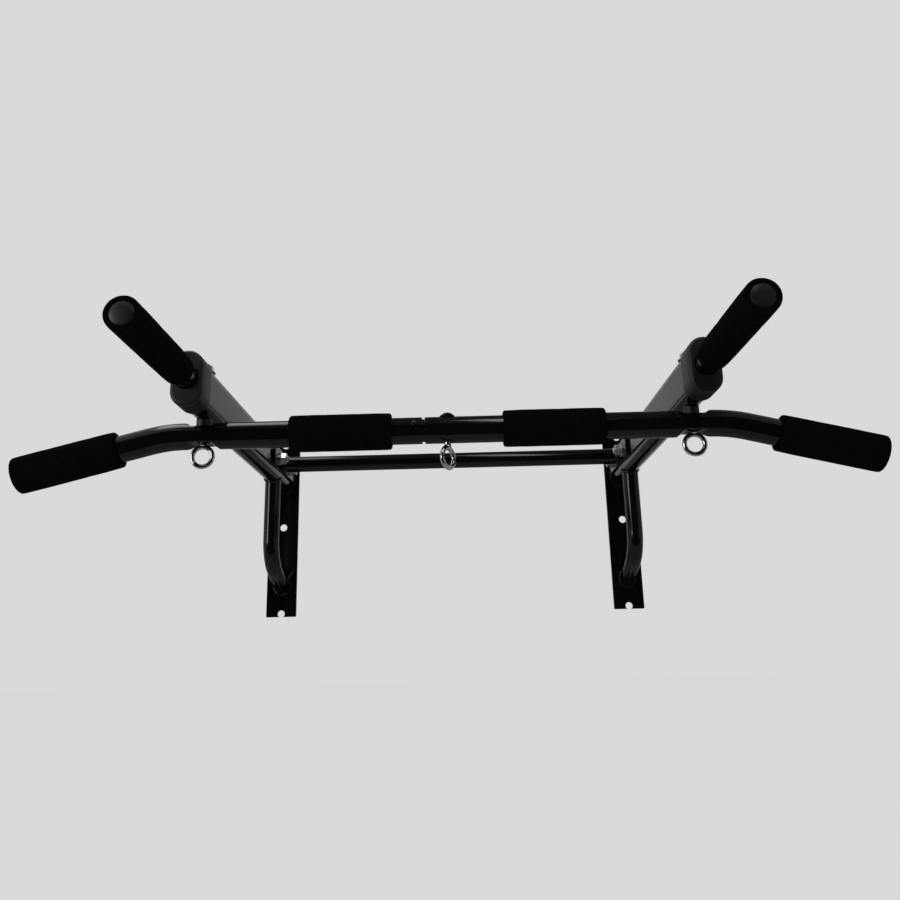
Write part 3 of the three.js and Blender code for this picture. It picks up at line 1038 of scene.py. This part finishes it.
@dataclass
class WallFrame:
    """One side's wall plate, arm, brace, cap and handle."""

    bench: Bench
    side: Side
    hole_diameter: float = 0.012
    hole_pitch: float = 0.145
    plate_ease: float = 0.0007
    tube_wall: float = 0.002
    arm_wall: float = 0.002
    brace_bend: float = 0.050
    brace_turn: float = 68.0
    cap_skin: float = 0.003
    cap_front: float = 0.004
    cap_round: float = 0.004
    handle_clearance: float = 0.0006
    eye_hole: float = 0.0086
    bolt_hole: float = 0.0106

    def __post_init__(self) -> None:
        """Reads this side's seats from the frame."""
        self.plate_seat, self.arm_seat, self.brace_seat, self.cap_seat, self.handle_seat = (
            self.seat(piece) for piece in ("wall_plate", "arm", "brace", "arm_cap", "handle_tube"))

    def named(self, piece: str) -> str:
        """A node's full name on this side."""
        return f"{self.side.word}_{piece}"

    def seat(self, piece: str) -> Seat:
        """The space of one of this side's nodes."""
        return Seat.of(self.named(piece))

    def build(self) -> None:
        """Makes and fits every piece of this side."""
        self.wall_plate()
        self.arm()
        self.brace()
        self.arm_cap()
        self.handle()
        self.welds()

    def wall_plate(self) -> None:
        """Flat bar with a screw hole and a notch open at each end."""
        seat = self.plate_seat
        half_w, half_h = seat.size.x / 2, seat.size.z / 2
        radius = self.hole_diameter / 2
        short = half_h - self.hole_pitch
        swing = math.degrees(math.asin(short / radius))
        cut = 0.0012            # each corner is clipped by this much
        low_notch = arc((0, -self.hole_pitch), radius, 180 + swing, -swing, steps=40)
        high_notch = arc((0, self.hole_pitch), radius, swing, -180 - swing, steps=40)
        outline = [(-half_w + cut, -half_h), *low_notch, (half_w - cut, -half_h),
                   (half_w, -half_h + cut), (half_w, half_h - cut),
                   (half_w - cut, half_h), *high_notch, (-half_w + cut, half_h),
                   (-half_w, half_h - cut), (-half_w, -half_h + cut)]
        piece = flat_bar(self.named("wall_plate_bar"), outline, [ring_of(radius)],
                         seat.size.y, self.plate_ease)
        upright = Matrix(((1, 0, 0, 0), (0, 0, -1, 0), (0, 1, 0, 0), (0, 0, 0, 1)))
        foot = Vector((seat.middle.x, seat.high.y, seat.middle.z))
        piece.data.transform(Matrix.Translation(foot) @ upright)
        self.bench.fit(piece, PAINT, self.named("wall_plate"))

    def _oval_ring(self, width: float, height: float, y: float) -> Ring:
        """An upright oval of points about the arm's axis."""
        middle = self.arm_seat.middle
        return [Vector((middle.x + x, y, middle.z + z)) for x, z in oval(width, height)]

    def _eye_drill(self, z: float, reach: float) -> bpy.types.Object:
        """The cutter for the side eyebolt's hole, about a height."""
        eye = self.seat("eyebolt").middle
        return drill(self.eye_hole, Facing.UP.at(Vector((eye.x, eye.y, z))), reach)

    def arm(self) -> None:
        """Flat-oval tube from the plate to the cap."""
        seat, lip = self.arm_seat, 0.0005
        width, height, inside = seat.size.x, seat.size.z, 2 * self.arm_wall
        back, front = seat.high.y, seat.low.y
        rings = [self._oval_ring(width - 2 * inset, height - 2 * inset, y) for inset, y in (
            (lip, back), (0, back - lip), (0, front + lip), (lip, front))]
        rings += [self._oval_ring(width - inside, height - inside, y) for y in (front, back)]
        piece = Shape().rings(rings, loop=True).made(self.named("arm_tube"), crease=30)
        cutters = [self._eye_drill(seat.middle.z, THROUGH_ARM)]
        for row in Row:
            spot = self.seat(f"flange_{row.value}_nut").middle
            spot.x = seat.middle.x
            cutters.append(drill(self.bolt_hole, Facing.RIGHT.at(spot), THROUGH_TUBE))
        self.bench.fit(combined(piece, *cutters), PAINT, self.named("arm"))

    def brace_line(self, steps: int = 40) -> list[tuple[Vector, float]]:
        """The brace's centre line from its top to the plate.

        Args:
            steps: Stretches in its bend.

        Returns:
            Points with the line's angle from straight down, in radians.
        """
        seat, turn, bend = self.brace_seat, math.radians(self.brace_turn), self.brace_bend
        radius = seat.size.x / 2
        x, leg_y, plate_y = seat.middle.x, seat.low.y + radius, self.plate_seat.low.y
        foot_z = seat.low.z + radius / math.sin(turn)
        run = (plate_y - leg_y - bend * (1 - math.cos(turn))) / math.sin(turn)
        bend_top = foot_z + run * math.cos(turn) + bend * math.sin(turn)
        line = [(Vector((x, leg_y, self.arm_seat.low.z)), 0.0)]
        for angle in (turn * i / steps for i in range(steps + 1)):
            line.append((Vector((x, leg_y + bend * (1 - math.cos(angle)),
                                 bend_top - bend * math.sin(angle))), angle))
        return [*line, (Vector((x, plate_y, foot_z)), turn)]

    def _saddle(self, x: float) -> float:
        """Height of the arm's rounded underside at a place across it."""
        radius = self.arm_seat.size.x / 2
        off = min(abs(x - self.arm_seat.middle.x), radius * 0.999)
        return self.arm_seat.low.z + radius - math.sqrt(radius ** 2 - off ** 2)

    def brace_rings(self, radius: float) -> list[Ring]:
        """Rings of the brace, coped to the arm above and to the plate at its foot."""
        rings = []
        for point, angle in self.brace_line():
            up = Vector((0, math.cos(angle), math.sin(angle)))
            rings.append([point + Vector((radius * math.cos(a), 0, 0)) + up * radius * math.sin(a)
                          for a in whole_turn(ROUND)])
        for spot in rings[0]:
            spot.z = self._saddle(spot.x)
        along = Vector((0, math.sin(angle), -math.cos(angle)))
        rings[-1] = [spot + along * ((point.y - spot.y) / along.y) for spot in rings[-1]]
        return rings

    def brace(self) -> None:
        """Bent tube from the arm's underside to the plate."""
        radius = self.brace_seat.size.x / 2
        rings = self.brace_rings(radius) + self.brace_rings(radius - self.tube_wall)[::-1]
        piece = Shape().rings(rings, loop=True).made(self.named("brace_tube"), crease=50)
        self.bench.fit(piece, PAINT, self.named("brace"))

    def arm_cap(self) -> None:
        """Moulded cap over the arm's end, with an eased hole for the handle."""
        cap = self.cap_seat
        middle, width, height = cap.middle, cap.size.x, cap.size.z
        front, back = cap.low.y, cap.high.y
        hole = (self.handle_seat.size.x + self.handle_clearance) / 2
        angles = [math.atan2(z, x) for x, z in oval(width, height)]

        def oval_at(inset: float, y: float) -> Ring:
            """The cap's outline at a depth, drawn in by an inset."""
            return [Vector((middle.x + x, y, middle.z + z))
                    for x, z in oval(width - 2 * inset, height - 2 * inset)]

        def hole_at(wider: float, deep: float) -> Ring:
            """The handle's hole at a depth behind the face, wider by a little."""
            radius = hole + wider
            return [Vector((middle.x + radius * math.cos(a), front + deep,
                            middle.z + radius * math.sin(a))) for a in angles]

        lip, groove, bite = 0.0006, 0.0035, 0.00045
        groove_y = front + self.cap_round + groove
        shoulder = arc((self.cap_round, self.cap_round), self.cap_round, 180, 270, steps=8)
        rings = [oval_at(inset, y) for inset, y in (
            (lip, back), (0.0, back - lip), (0.0, groove_y + lip), (bite, groove_y + lip / 2),
            (bite, groove_y - lip / 2), (0.0, groove_y - lip),
            *((inset, front + deep) for inset, deep in shoulder))]
        rings += [hole_at(wider, deep) for wider, deep in (
            (0.0016, 0.0), (0.0011, 0.0), (0.0003, 0.0003), (0.0, 0.0008), (0.0, self.cap_front))]
        rings += [oval_at(self.cap_skin, y) for y in (front + self.cap_front, back)]
        piece = Shape().rings(rings, loop=True).made(self.named("arm_cap_moulding"), crease=32)
        self.bench.fit(piece, PLASTIC, self.named("arm_cap"))

    def handle(self) -> None:
        """Handle tube, foam grip and end plug."""
        seat = self.handle_seat
        radius = seat.size.x / 2
        foot = Vector((seat.middle.x, seat.high.y, seat.middle.z))
        tube = pipe(radius, self.tube_wall, seat.size.y, 0.0005, Facing.FRONT.at(foot))
        piece = combined(tube.made(self.named("handle_pipe")),
                         self._eye_drill(foot.z, THROUGH_TUBE))
        self.bench.fit(piece, PAINT, self.named("handle_tube"))

        grip = self.seat("handle_grip")
        sleeve = FoamGrip(grip.size.x, grip.size.y, seat.size.x + self.handle_clearance)
        foot = Vector((grip.middle.x, grip.high.y, grip.middle.z))
        self.bench.soft(sleeve, 4.0 + self.side.value, Facing.FRONT.at(foot),
                        self.named("handle_foam"), self.named("handle_grip"))

        plug = self.seat("handle_plug")
        mouth = Vector((plug.middle.x, seat.low.y, plug.middle.z))
        button = tube_plug(radius, self.tube_wall, mouth.y - plug.low.y, plug.high.y - mouth.y)
        button.moved(Facing.FRONT.at(mouth))
        self.bench.fit(button.made(self.named("handle_button"), crease=40), PLASTIC,
                       self.named("handle_plug"))

    def welds(self) -> None:
        """Beads where the arm and the brace meet the plate and each other."""
        size = self.arm_seat.size
        rings = self.brace_rings(self.brace_seat.size.x / 2)
        joints = {"arm_weld": self._oval_ring(size.x, size.z, self.plate_seat.low.y),
                  "brace_top_weld": rings[0], "brace_foot_weld": rings[-1]}
        for name, line in joints.items():
            self.bench.fit(Weld().bead(self.named(name), line), PAINT)


# ------------------------------------------------------------------ cross tie


@dataclass
class CrossTie:
    """The tube between the arms, its flanges and their bolts."""

    bench: Bench
    wall: float = 0.002
    flange_corner: float = 0.0075
    bolt_across: float = 0.017
    bolt_head: float = 0.0064
    bolt_hole: float = 0.0106
    thread: Thread = Thread(0.010, 0.0015)

    def build(self) -> None:
        """Makes and fits the tube, the flanges and every fastener."""
        self.tube()
        for side in Side:
            self.flange(side)
            self.bolts(side)

    def tube(self) -> None:
        """The tube and the weld round each of its ends."""
        seat = Seat.of("cross_tube")
        radius = seat.size.z / 2
        foot = Vector((seat.low.x, seat.middle.y, seat.middle.z))
        tube = pipe(radius, self.wall, seat.size.x, 0.0003, Facing.RIGHT.at(foot))
        self.bench.fit(tube.made("cross_tube_pipe"), PAINT, "cross_tube")
        for side, x in ((Side.LEFT, seat.low.x), (Side.RIGHT, seat.high.x)):
            line = [Vector((x, seat.middle.y + radius * math.cos(a),
                            seat.middle.z + radius * math.sin(a)))
                    for a in whole_turn(SHANK_ROUND)]
            bead = Weld(radius=0.0024).bead(f"{side.word}_cross_tube_weld", line)
            self.bench.fit(bead, PAINT)

    def flange(self, side: Side) -> None:
        """A bolted end plate with rounded corners."""
        node = f"{side.word}_cross_flange"
        seat = Seat.of(node)
        half_l, half_h, corner = seat.size.y / 2, seat.size.z / 2, self.flange_corner
        outline = []
        for cx, cy, start in ((1, 1, 0), (-1, 1, 90), (-1, -1, 180), (1, -1, 270)):
            centre = (cx * (half_l - corner), cy * (half_h - corner))
            outline += arc(centre, corner, start, start + 90, steps=10)
        holes = []
        for row in Row:
            nut = Seat.of(f"{side.word}_flange_{row.value}_nut").middle
            holes.append(ring_of(self.bolt_hole / 2, (nut.y - seat.middle.y, 0)))
        piece = flat_bar(f"{node}_plate", outline, holes, seat.size.x, 0.0005)
        upright = Matrix(((0, 0, 1, 0), (1, 0, 0, 0), (0, 1, 0, 0), (0, 0, 0, 1)))
        piece.data.transform(Matrix.Translation((seat.low.x, *seat.middle.yz)) @ upright)
        self.bench.fit(piece, PAINT, node)

    def bolts(self, side: Side) -> None:
        """Two bolts through the arm, with their washers and nuts."""
        maker = Fasteners(self.bench)
        inwards, outwards = Facing.RIGHT, Facing.LEFT
        if side is Side.RIGHT:
            inwards, outwards = outwards, inwards
        for row in Row:
            name = f"{side.word}_flange_{row.value}"
            maker.bolt(f"{name}_bolt", inwards, self.thread, self.bolt_across, self.bolt_head)
            maker.washer(f"{name}_outer_washer", outwards, self.bolt_hole)
            maker.washer(f"{name}_inner_washer", inwards, self.bolt_hole)
            maker.nut(f"{name}_nut", inwards, self.thread, self.bolt_across)


# ------------------------------------------------------------------ bar


@dataclass(frozen=True)
class Station:
    """A place on the bar's centre line."""

    point: Vector
    along: Vector
    across: Vector
    up: Vector
    press: float


@dataclass
class PullBar:
    """The two-piece bar with its sleeve, screw, grips and plugs."""

    bench: Bench
    diameter: float = 0.032
    wall: float = 0.002
    sleeve_wall: float = 0.0025
    flat_depth: float = 0.006
    flat_half: float = 0.011
    flat_run: float = 0.010
    bend_past_eye: float = 0.022
    bend_radius: float = 0.160
    bend_angle: float = 15.0
    bend_lean: float = 10.0
    end_length: float = 0.152
    grip_diameter: float = 0.044
    grip_length: float = 0.120
    grip_start: float = 0.066
    grip_over: float = 0.003
    grip_clearance: float = 0.0006
    plug_rise: float = 0.004
    plug_stem: float = 0.018
    screw_lift: float = 18.0
    eye_hole: float = 0.0086
    softness: float = 0.0005

    def __post_init__(self) -> None:
        """Reads the bar's line and seam from the frame."""
        sleeve = Seat.of("joint_sleeve")
        self.line = Vector((0, sleeve.middle.y, sleeve.middle.z))
        self.seams = {Side.LEFT: Seat.of("left_bar").high.x, Side.RIGHT: Seat.of("right_bar").low.x}
        self.eye = Seat.of("right_eyebolt").middle.x
        self.bend_start = self.eye + self.bend_past_eye
        self.bend_end = self.bend_start + self.bend_radius * math.radians(self.bend_angle)
        self.end = self.bend_end + self.end_length

    def build(self) -> None:
        """Makes and fits every piece of the bar."""
        for side in Side:
            self.half(side)
            self.grips(side)
            self.plug(side)
        self.sleeve()
        self.screw()

    def station(self, side: Side, distance: float) -> Station:
        """A place on one side of the bar.

        Args:
            side: Which side.
            distance: How far from the bar's middle, along its line; it may be negative.

        Returns:
            The place, its three directions and how deep the tube is pressed flat there.
        """
        angle = min(max(distance - self.bend_start, 0) / self.bend_radius,
                    math.radians(self.bend_angle))
        past = max(0.0, distance - self.bend_end)
        bend = self.bend_radius
        out = min(distance, self.bend_start) + bend * math.sin(angle) + past * math.cos(angle)
        droop = bend * (1 - math.cos(angle)) + past * math.sin(angle)
        lean = math.radians(self.bend_lean)
        down = Vector((0, -math.sin(lean), -math.cos(lean)))
        along = Vector((math.cos(angle), 0, 0)) + down * math.sin(angle)
        point = Vector((out, 0, 0)) + down * droop
        level = Vector((0, 1, 0))
        across = (level - along * level.dot(along)).normalized()
        up = along.cross(across).normalized()
        fade = (abs(distance - self.eye) - self.flat_half) / self.flat_run
        press = self.flat_depth * (0.5 + 0.5 * math.cos(math.pi * min(max(fade, 0), 1)))
        mirror = Vector((side.value, 1, 1))
        point, along, across, up = (v * mirror for v in (point, along, across, up))
        return Station(self.line + point, along, across, up, press)

    def _ring(self, spot: Station, radius: float) -> Ring:
        """The tube's section at a place, pressed flat where the bar is."""
        limit = radius - spot.press
        ring = []
        for angle in whole_turn(ROUND):
            rise = radius * math.sin(angle)
            if spot.press > 0:
                rise = math.copysign(limited(abs(rise), limit, self.softness), rise)
            ring.append(spot.point + spot.across * radius * math.cos(angle) + spot.up * rise)
        return ring

    def half(self, side: Side) -> None:
        """One half of the bar, from the seam to its end."""
        seam, lip = self.seams[side] * side.value, 0.0006
        reach = self.flat_half + self.flat_run
        flat_start, flat_end = self.eye - reach, self.eye + reach
        coarse, pressed, bent = 0.02, 0.0014, 0.0028
        distances = [seam, seam + lip * 0.3, seam + lip,
                     *stretch(seam + lip, flat_start, coarse),
                     *stretch(flat_start, flat_end, pressed),
                     *stretch(flat_end, self.bend_end, bent),
                     *stretch(self.bend_end, self.end, coarse)]
        insets = [lip, lip * 0.3] + [0.0] * (len(distances) - 2)
        spots = [self.station(side, distance) for distance in distances]
        radius = self.diameter / 2
        rings = [self._ring(spot, radius - inset) for spot, inset in zip(spots, insets)]
        rings += [self._ring(spot, radius - self.wall) for spot in reversed(spots)]
        piece = Shape().rings(rings, loop=True).made(f"{side.word}_bar_tube", crease=38)
        holes = [self.station(side, self.eye).point] + ([self.line] if seam < 0 else [])
        cutters = [drill(self.eye_hole, Facing.UP.at(hole), THROUGH_TUBE) for hole in holes]
        self.bench.fit(combined(piece, *cutters), PAINT, f"{side.word}_bar")

    def grips(self, side: Side) -> None:
        """The foam sleeves near the middle and on the end."""
        sleeve = FoamGrip(self.grip_diameter, self.grip_length,
                          self.diameter + self.grip_clearance)
        starts = {"center_grip": self.grip_start,
                  "end_grip": self.end + self.grip_over - self.grip_length}
        for i, (name, start) in enumerate(starts.items()):
            spot = self.station(side, start)
            self.bench.soft(sleeve, 11.0 * (i + 1) + 3.0 * side.value,
                            standing(spot.point, spot.along),
                            f"{side.word}_{name}_foam", f"{side.word}_{name}")

    def plug(self, side: Side) -> None:
        """The domed plug in the bar's end."""
        spot = self.station(side, self.end)
        button = tube_plug(self.diameter / 2, self.wall, self.plug_rise, self.plug_stem)
        button.moved(standing(spot.point, spot.along))
        self.bench.fit(button.made(f"{side.word}_bar_button", crease=40), PLASTIC,
                       f"{side.word}_bar_plug")

    def sleeve(self) -> None:
        """The sleeve inside the bar, seen at the seam."""
        seat = Seat.of("joint_sleeve")
        foot = Vector((seat.low.x, self.line.y, self.line.z))
        tube = pipe(self.diameter / 2 - self.wall - PLAY, self.sleeve_wall, seat.size.x, 0.0005,
                    Facing.RIGHT.at(foot))
        piece = combined(tube.made("joint_sleeve_pipe"),
                         drill(self.eye_hole, Facing.UP.at(self.line), THROUGH_TUBE))
        self.bench.fit(piece, PAINT, "joint_sleeve")

    def screw(self) -> None:
        """The pan-head locking screw beside the seam, with a cross recess."""
        seat, lift = Seat.of("joint_screw"), math.radians(self.screw_lift)
        place = standing(Vector((seat.middle.x, self.line.y, self.line.z)),
                         Vector((0, -math.cos(lift), math.sin(lift))))
        head, base = seat.size.x / 2, self.diameter / 2 + PLAY
        stem, depth, edge, rise = 0.0019, 0.006, 0.0006, 0.0022
        profile = [(0, base - depth), (stem, base - depth), (stem, base), (head - 0.0002, base),
                   *domed(head, base + edge, base + rise, step=10), (0, base + rise)]
        piece = Shape().turned(profile, FINE_ROUND).moved(place).made("joint_screw_turned")
        long, wide, floor, clear = 0.0022, 0.00045, base + 0.0011, base + 0.004
        corners = ((-long, -wide), (long, -wide), (long, wide), (-long, wide))
        slots = []
        for quarter in (0, math.pi / 2):
            bit = Shape().rings([[Vector((x, y, z)) for x, y in corners] for z in (floor, clear)])
            slots.append(bit.moved(place @ Matrix.Rotation(quarter, 4, "Z")).made("bit"))
        self.bench.fit(combined(piece, *slots), PAINT, "joint_screw")


def limited(value: float, limit: float, softness: float) -> float:
    """A number held under a limit, with a soft shoulder instead of a corner."""
    room, far = (limit - value) / softness, 60      # past it the shoulder has no effect
    return limit - softness * math.log1p(math.exp(room)) if room < far else value


def stretch(start: float, end: float, step: float) -> list[float]:
    """Even steps from a start, left out, to an end, included."""
    count = max(1, round((end - start) / step))
    return [start + (end - start) * k / count for k in range(1, count + 1)]


# ------------------------------------------------------------------ eyebolts


@dataclass
class Eyebolts:
    """The three eyebolts with their spacers, washers and nuts."""

    bench: Bench
    thread: Thread = Thread(0.008, 0.00125)
    wire: float = 0.0055
    outer: float = 0.0295
    nut_across: float = 0.013
    bore: float = 0.0086
    turn: float = 57.0
    spacer_diameter: float = 0.018
    cap_diameter: float = 0.013
    cap_slope: float = 0.0014
    swell: float = 0.16         # how much thicker the ring is where it meets the shank

    def build(self) -> None:
        """Makes and fits the side eyebolts and the swivelling middle one."""
        for side in Side:
            self.side_eye(side)
        self.center_eye()

    def eye(self, node: str, turn: float, body: str, threaded: float) -> None:
        """A forged ring with a threaded shank.

        Args:
            node: The node that it stands for.
            turn: The ring's turn from facing forward, in degrees.
            body: The body that it moves with.
            threaded: Length of thread at the shank's top.
        """
        seat = Seat.of(node)
        middle = seat.middle
        ring_z = seat.low.z + self.outer / 2
        major, minor = (self.outer - self.wire) / 2, self.wire / 2
        rings = []
        for around in whole_turn(ROUND):
            out = Vector((math.sin(around), 0, math.cos(around)))
            thick = minor * (1 + self.swell * max(0.0, math.cos(around)) ** 8)
            rings.append([out * (major + thick * math.cos(a)) + Vector((0, thick * math.sin(a), 0))
                          for a in whole_turn(32)])
        top, neck = seat.high.z - ring_z, major + minor
        radius, thread_low = self.thread.diameter / 2, top - threaded
        stem_rings = [circle(radius * wider, height, SHANK_ROUND) for wider, height in (
            (0.55, major - minor * 0.2), (1.12, neck - 0.0012), (1.05, neck),
            (1.0, neck + 0.0010), (1.0, thread_low - 0.0002))]
        place = Matrix.Translation((middle.x, middle.y, ring_z)) \
            @ Matrix.Rotation(math.radians(turn), 4, "Z")
        hoop = Shape().rings(rings, loop=True).moved(place).made(f"{node}_forged", crease=60)
        stem = Shape().rings(stem_rings + self.thread.tail(thread_low, top)).moved(place)
        piece = combined(hoop, stem.made("stem", crease=60), way="UNION", crease=38)
        self.bench.fit(piece, CHROME, node, body=body)

    def side_eye(self, side: Side) -> None:
        """An eyebolt that clamps the bar under the arm."""
        name = f"{side.word}_eyebolt"
        maker = Fasteners(self.bench)
        self.eye(name, 0.0, FRAME_BODY, threaded=0.013)
        maker.washer(f"{name}_washer", Facing.UP, self.bore)
        maker.nut(f"{name}_nut", Facing.UP, self.thread, self.nut_across)
        self.spacer(side)

    def spacer(self, side: Side) -> None:
        """The collar between the bar's pressed flat and the arm's round underside."""
        node = f"{side.word}_eyebolt_spacer"
        seat, arm = Seat.of(node), Seat.of(f"{side.word}_arm")
        outer, inner = self.spacer_diameter / 2, self.bore / 2
        arm_radius, ease = arm.size.x / 2 + PLAY, 0.0005
        centre = arm.low.z + arm.size.x / 2

        def level(radius: float, height: float) -> Ring:
            return [Vector((seat.middle.x, seat.middle.y, 0)) + p
                    for p in circle(radius, height, FINE_ROUND)]

        def coped(radius: float) -> Ring:
            """A circle cut to the arm's underside."""
            ring = level(radius, 0)
            for spot in ring:
                off = spot.x - seat.middle.x
                spot.z = centre - math.sqrt(arm_radius ** 2 - off ** 2)
            return ring

        rings = [level(outer - ease, seat.low.z), level(outer, seat.low.z + ease),
                 coped(outer), coped(inner), level(inner, seat.low.z)]
        piece = Shape().rings(rings, loop=True).made(f"{node}_coped", crease=40)
        self.bench.fit(piece, PLASTIC, node)

    def center_eye(self) -> None:
        """The middle eyebolt, its washer and its low domed nut, which turn together."""
        name = "center_eyebolt"
        self.eye(name, self.turn, SWIVEL_BODY, threaded=0.004)
        Fasteners(self.bench).washer(f"{name}_washer", Facing.UP, self.bore, PAINT, SWIVEL_BODY)
        seat = Seat.of(f"{name}_nut")
        foot = Vector((seat.middle.x, seat.middle.y, seat.low.z))
        radius, inner, height = self.cap_diameter / 2, self.bore / 2, seat.size.z
        ease, slope = 0.0003, height - self.cap_slope
        profile = [(inner, 0.0), (radius - ease, 0.0), (radius, ease), (radius, slope - 0.0002),
                   (radius - ease, slope + 0.0002),
                   ((radius + inner) / 2, height - self.cap_slope / 4),
                   (inner + 0.0004, height), (inner, height - ease)]
        nut = Shape().turned(profile, FINE_ROUND, loop=True).moved(Facing.UP.at(foot))
        self.bench.fit(nut.made(f"{name}_cap", crease=25), PAINT, f"{name}_nut", body=SWIVEL_BODY)


# ------------------------------------------------------------------ studio


@dataclass(frozen=True)
class Softbox:
    """A rectangular studio light aimed at the bar."""

    name: str
    place: Triple
    size: Pair
    watts: float

    def hang(self, target: Vector) -> None:
        """Hangs the light and aims it.

        Args:
            target: The point that it shines at.
        """
        data = bpy.data.lights.new(self.name, "AREA")
        data.shape = "RECTANGLE"
        data.size, data.size_y = self.size
        data.energy = self.watts
        lamp = linked(self.name, data)
        lamp.location = self.place
        lamp.rotation_euler = (target - Vector(self.place)).to_track_quat("-Z", "Y").to_euler()


@dataclass(frozen=True)
class Flag:
    """A grey studio panel, seen only as a reflection in the gloss."""

    name: str
    low: Triple
    high: Triple
    tone: float

    def stand(self) -> None:
        """Stands the panel beside the set."""
        (x, y, z), (far_x, far_y, top) = self.low, self.high
        side = (far_x, y, z), (x, far_y, top)
        if x == far_x:
            side = (x, far_y, z), (x, y, top)
        panel = sheet(self.name, (self.low, side[0], self.high, side[1]))
        material = bpy.data.materials.new(self.name)
        material.use_nodes = True
        shader = material.node_tree.nodes["Principled BSDF"]
        shader.inputs["Base Color"].default_value = (self.tone, self.tone, self.tone, 1)
        shader.inputs["Roughness"].default_value = 1.0
        shader.inputs["Specular IOR Level"].default_value = 0.0
        panel.data.materials.append(material)
        panel.visible_camera = panel.visible_shadow = panel.visible_diffuse = False


@dataclass(frozen=True)
class Studio:
    """Floor, backdrop tone, lights and camera."""

    floor_drop: float = 2.15
    floor_reach: float = 60.0
    paper: Colour = (0.985, 0.985, 0.985)
    paper_waver: float = 1.005
    air: Colour = (0.701, 0.701, 0.701)
    lens: float = 31.74
    sensor: float = 36.0
    camera_place: Triple = (0.0113, -1.3497, -0.2161)
    yaw: float = -0.556
    pitch: float = 14.42
    roll: float = -1.335

    def build(self) -> None:
        """Sets up the whole studio."""
        self.world()
        self.floor()
        self.lights()
        self.flags()
        self.camera()

    def world(self) -> None:
        """The even pale surroundings."""
        world = bpy.data.worlds.new("pale_studio")
        world.use_nodes = True
        world.node_tree.nodes["Background"].inputs["Color"].default_value = (*self.air, 1)
        bpy.context.scene.world = world
        bpy.context.scene.view_settings.view_transform = "Standard"

    def floor(self) -> None:
        """A plain pale floor well below the bar."""
        reach, z = self.floor_reach, cad_box[0].z - self.floor_drop
        floor = sheet("studio_floor", [(-reach, -reach, z), (reach, -reach, z),
                                       (reach, reach, z), (-reach, reach, z)])
        graph = Graph("pale_paper")
        graph.set(Roughness=0.95, Specular_IOR_Level=0.0)
        graph.shades(graph.grain(3.0, 2.0), (0.3, self.paper),
                     (0.7, tuple(c * self.paper_waver for c in self.paper)))
        floor.data.materials.append(graph.material)

    def lights(self) -> None:
        """A wide light over the left, a strip over the right and a soft one at the left."""
        left = Softbox("overhead_left", (-0.84, -0.35, 1.85), (0.76, 1.2), 9.0)
        left.hang(Vector((-0.84, -0.35, 0)))
        target = Seat.of("joint_sleeve").middle
        Softbox("overhead_right", (0.24, -1.60, 1.75), (0.22, 1.4), 5.0).hang(target)
        Softbox("left_fill", (-2.2, -2.0, 0.3), (0.8, 1.2), 16.0).hang(target)

    def flags(self) -> None:
        """Grey cards all round, which set what the gloss reflects."""
        low, level, high = -1.05, -0.25, 2.6
        front, near, middle, back = -3.2, -1.15, 0.9, 2.6
        inner, wide = 1.35, 3.2
        black, dark, dim, mid, pale, bright = 0.01, 0.12, 0.15, 0.35, 0.50, 0.75
        cards = (
            ("front_card", (-wide, front, low), (wide, front, high), black),
            ("front_floor_card", (-wide, near, low), (wide, front, low), black),
            ("floor_card", (-wide, near, low), (wide, middle, low), 0.28),
            ("floor_far_card", (-wide, middle, low), (wide, back, low), dim),
            ("back_low_card", (-wide, back, low), (wide, back, level), dim),
            ("back_card", (-wide, back, level), (wide, back, high), 0.52),
            ("left_card", (-wide, front, low), (-wide, back, high), pale),
            ("right_card", (wide, front, low), (wide, back, high), mid),
            ("ceiling_card", (-inner, front, high), (inner, back, high), dark),
            ("ceiling_left_card", (-wide, front, high), (-inner, back, high), bright),
            ("ceiling_right_card", (inner, front, high), (wide, back, high), mid))
        for card in cards:
            Flag(*card).stand()

    def camera(self) -> None:
        """The camera, low in front and looking up at the bar."""
        yaw, pitch, roll = (math.radians(a) for a in (self.yaw, self.pitch, self.roll))
        forward = Vector((math.sin(yaw) * math.cos(pitch), math.cos(yaw) * math.cos(pitch),
                          math.sin(pitch)))
        level = Vector((math.cos(yaw), -math.sin(yaw), 0))
        over = level.cross(forward)
        right = level * math.cos(roll) + over * math.sin(roll)
        up = over * math.cos(roll) - level * math.sin(roll)
        data = bpy.data.cameras.new("camera")
        data.lens, data.sensor_width = self.lens, self.sensor
        camera = linked("camera", data)
        axes = Matrix((right, up, -forward)).transposed().to_4x4()
        camera.matrix_world = Matrix.Translation(self.camera_place) @ axes
        bpy.context.scene.camera = camera


def main() -> None:
    """Builds the whole bar and its studio."""
    logging.basicConfig(level=logging.INFO, format="%(message)s")
    bench = Bench()
    Studio().build()
    for side in Side:
        WallFrame(bench, side).build()
    CrossTie(bench).build()
    PullBar(bench).build()
    Eyebolts(bench).build()
    log.info("%d pieces fitted", len(bench.fitted))


if __name__ == "__main__":
    main()
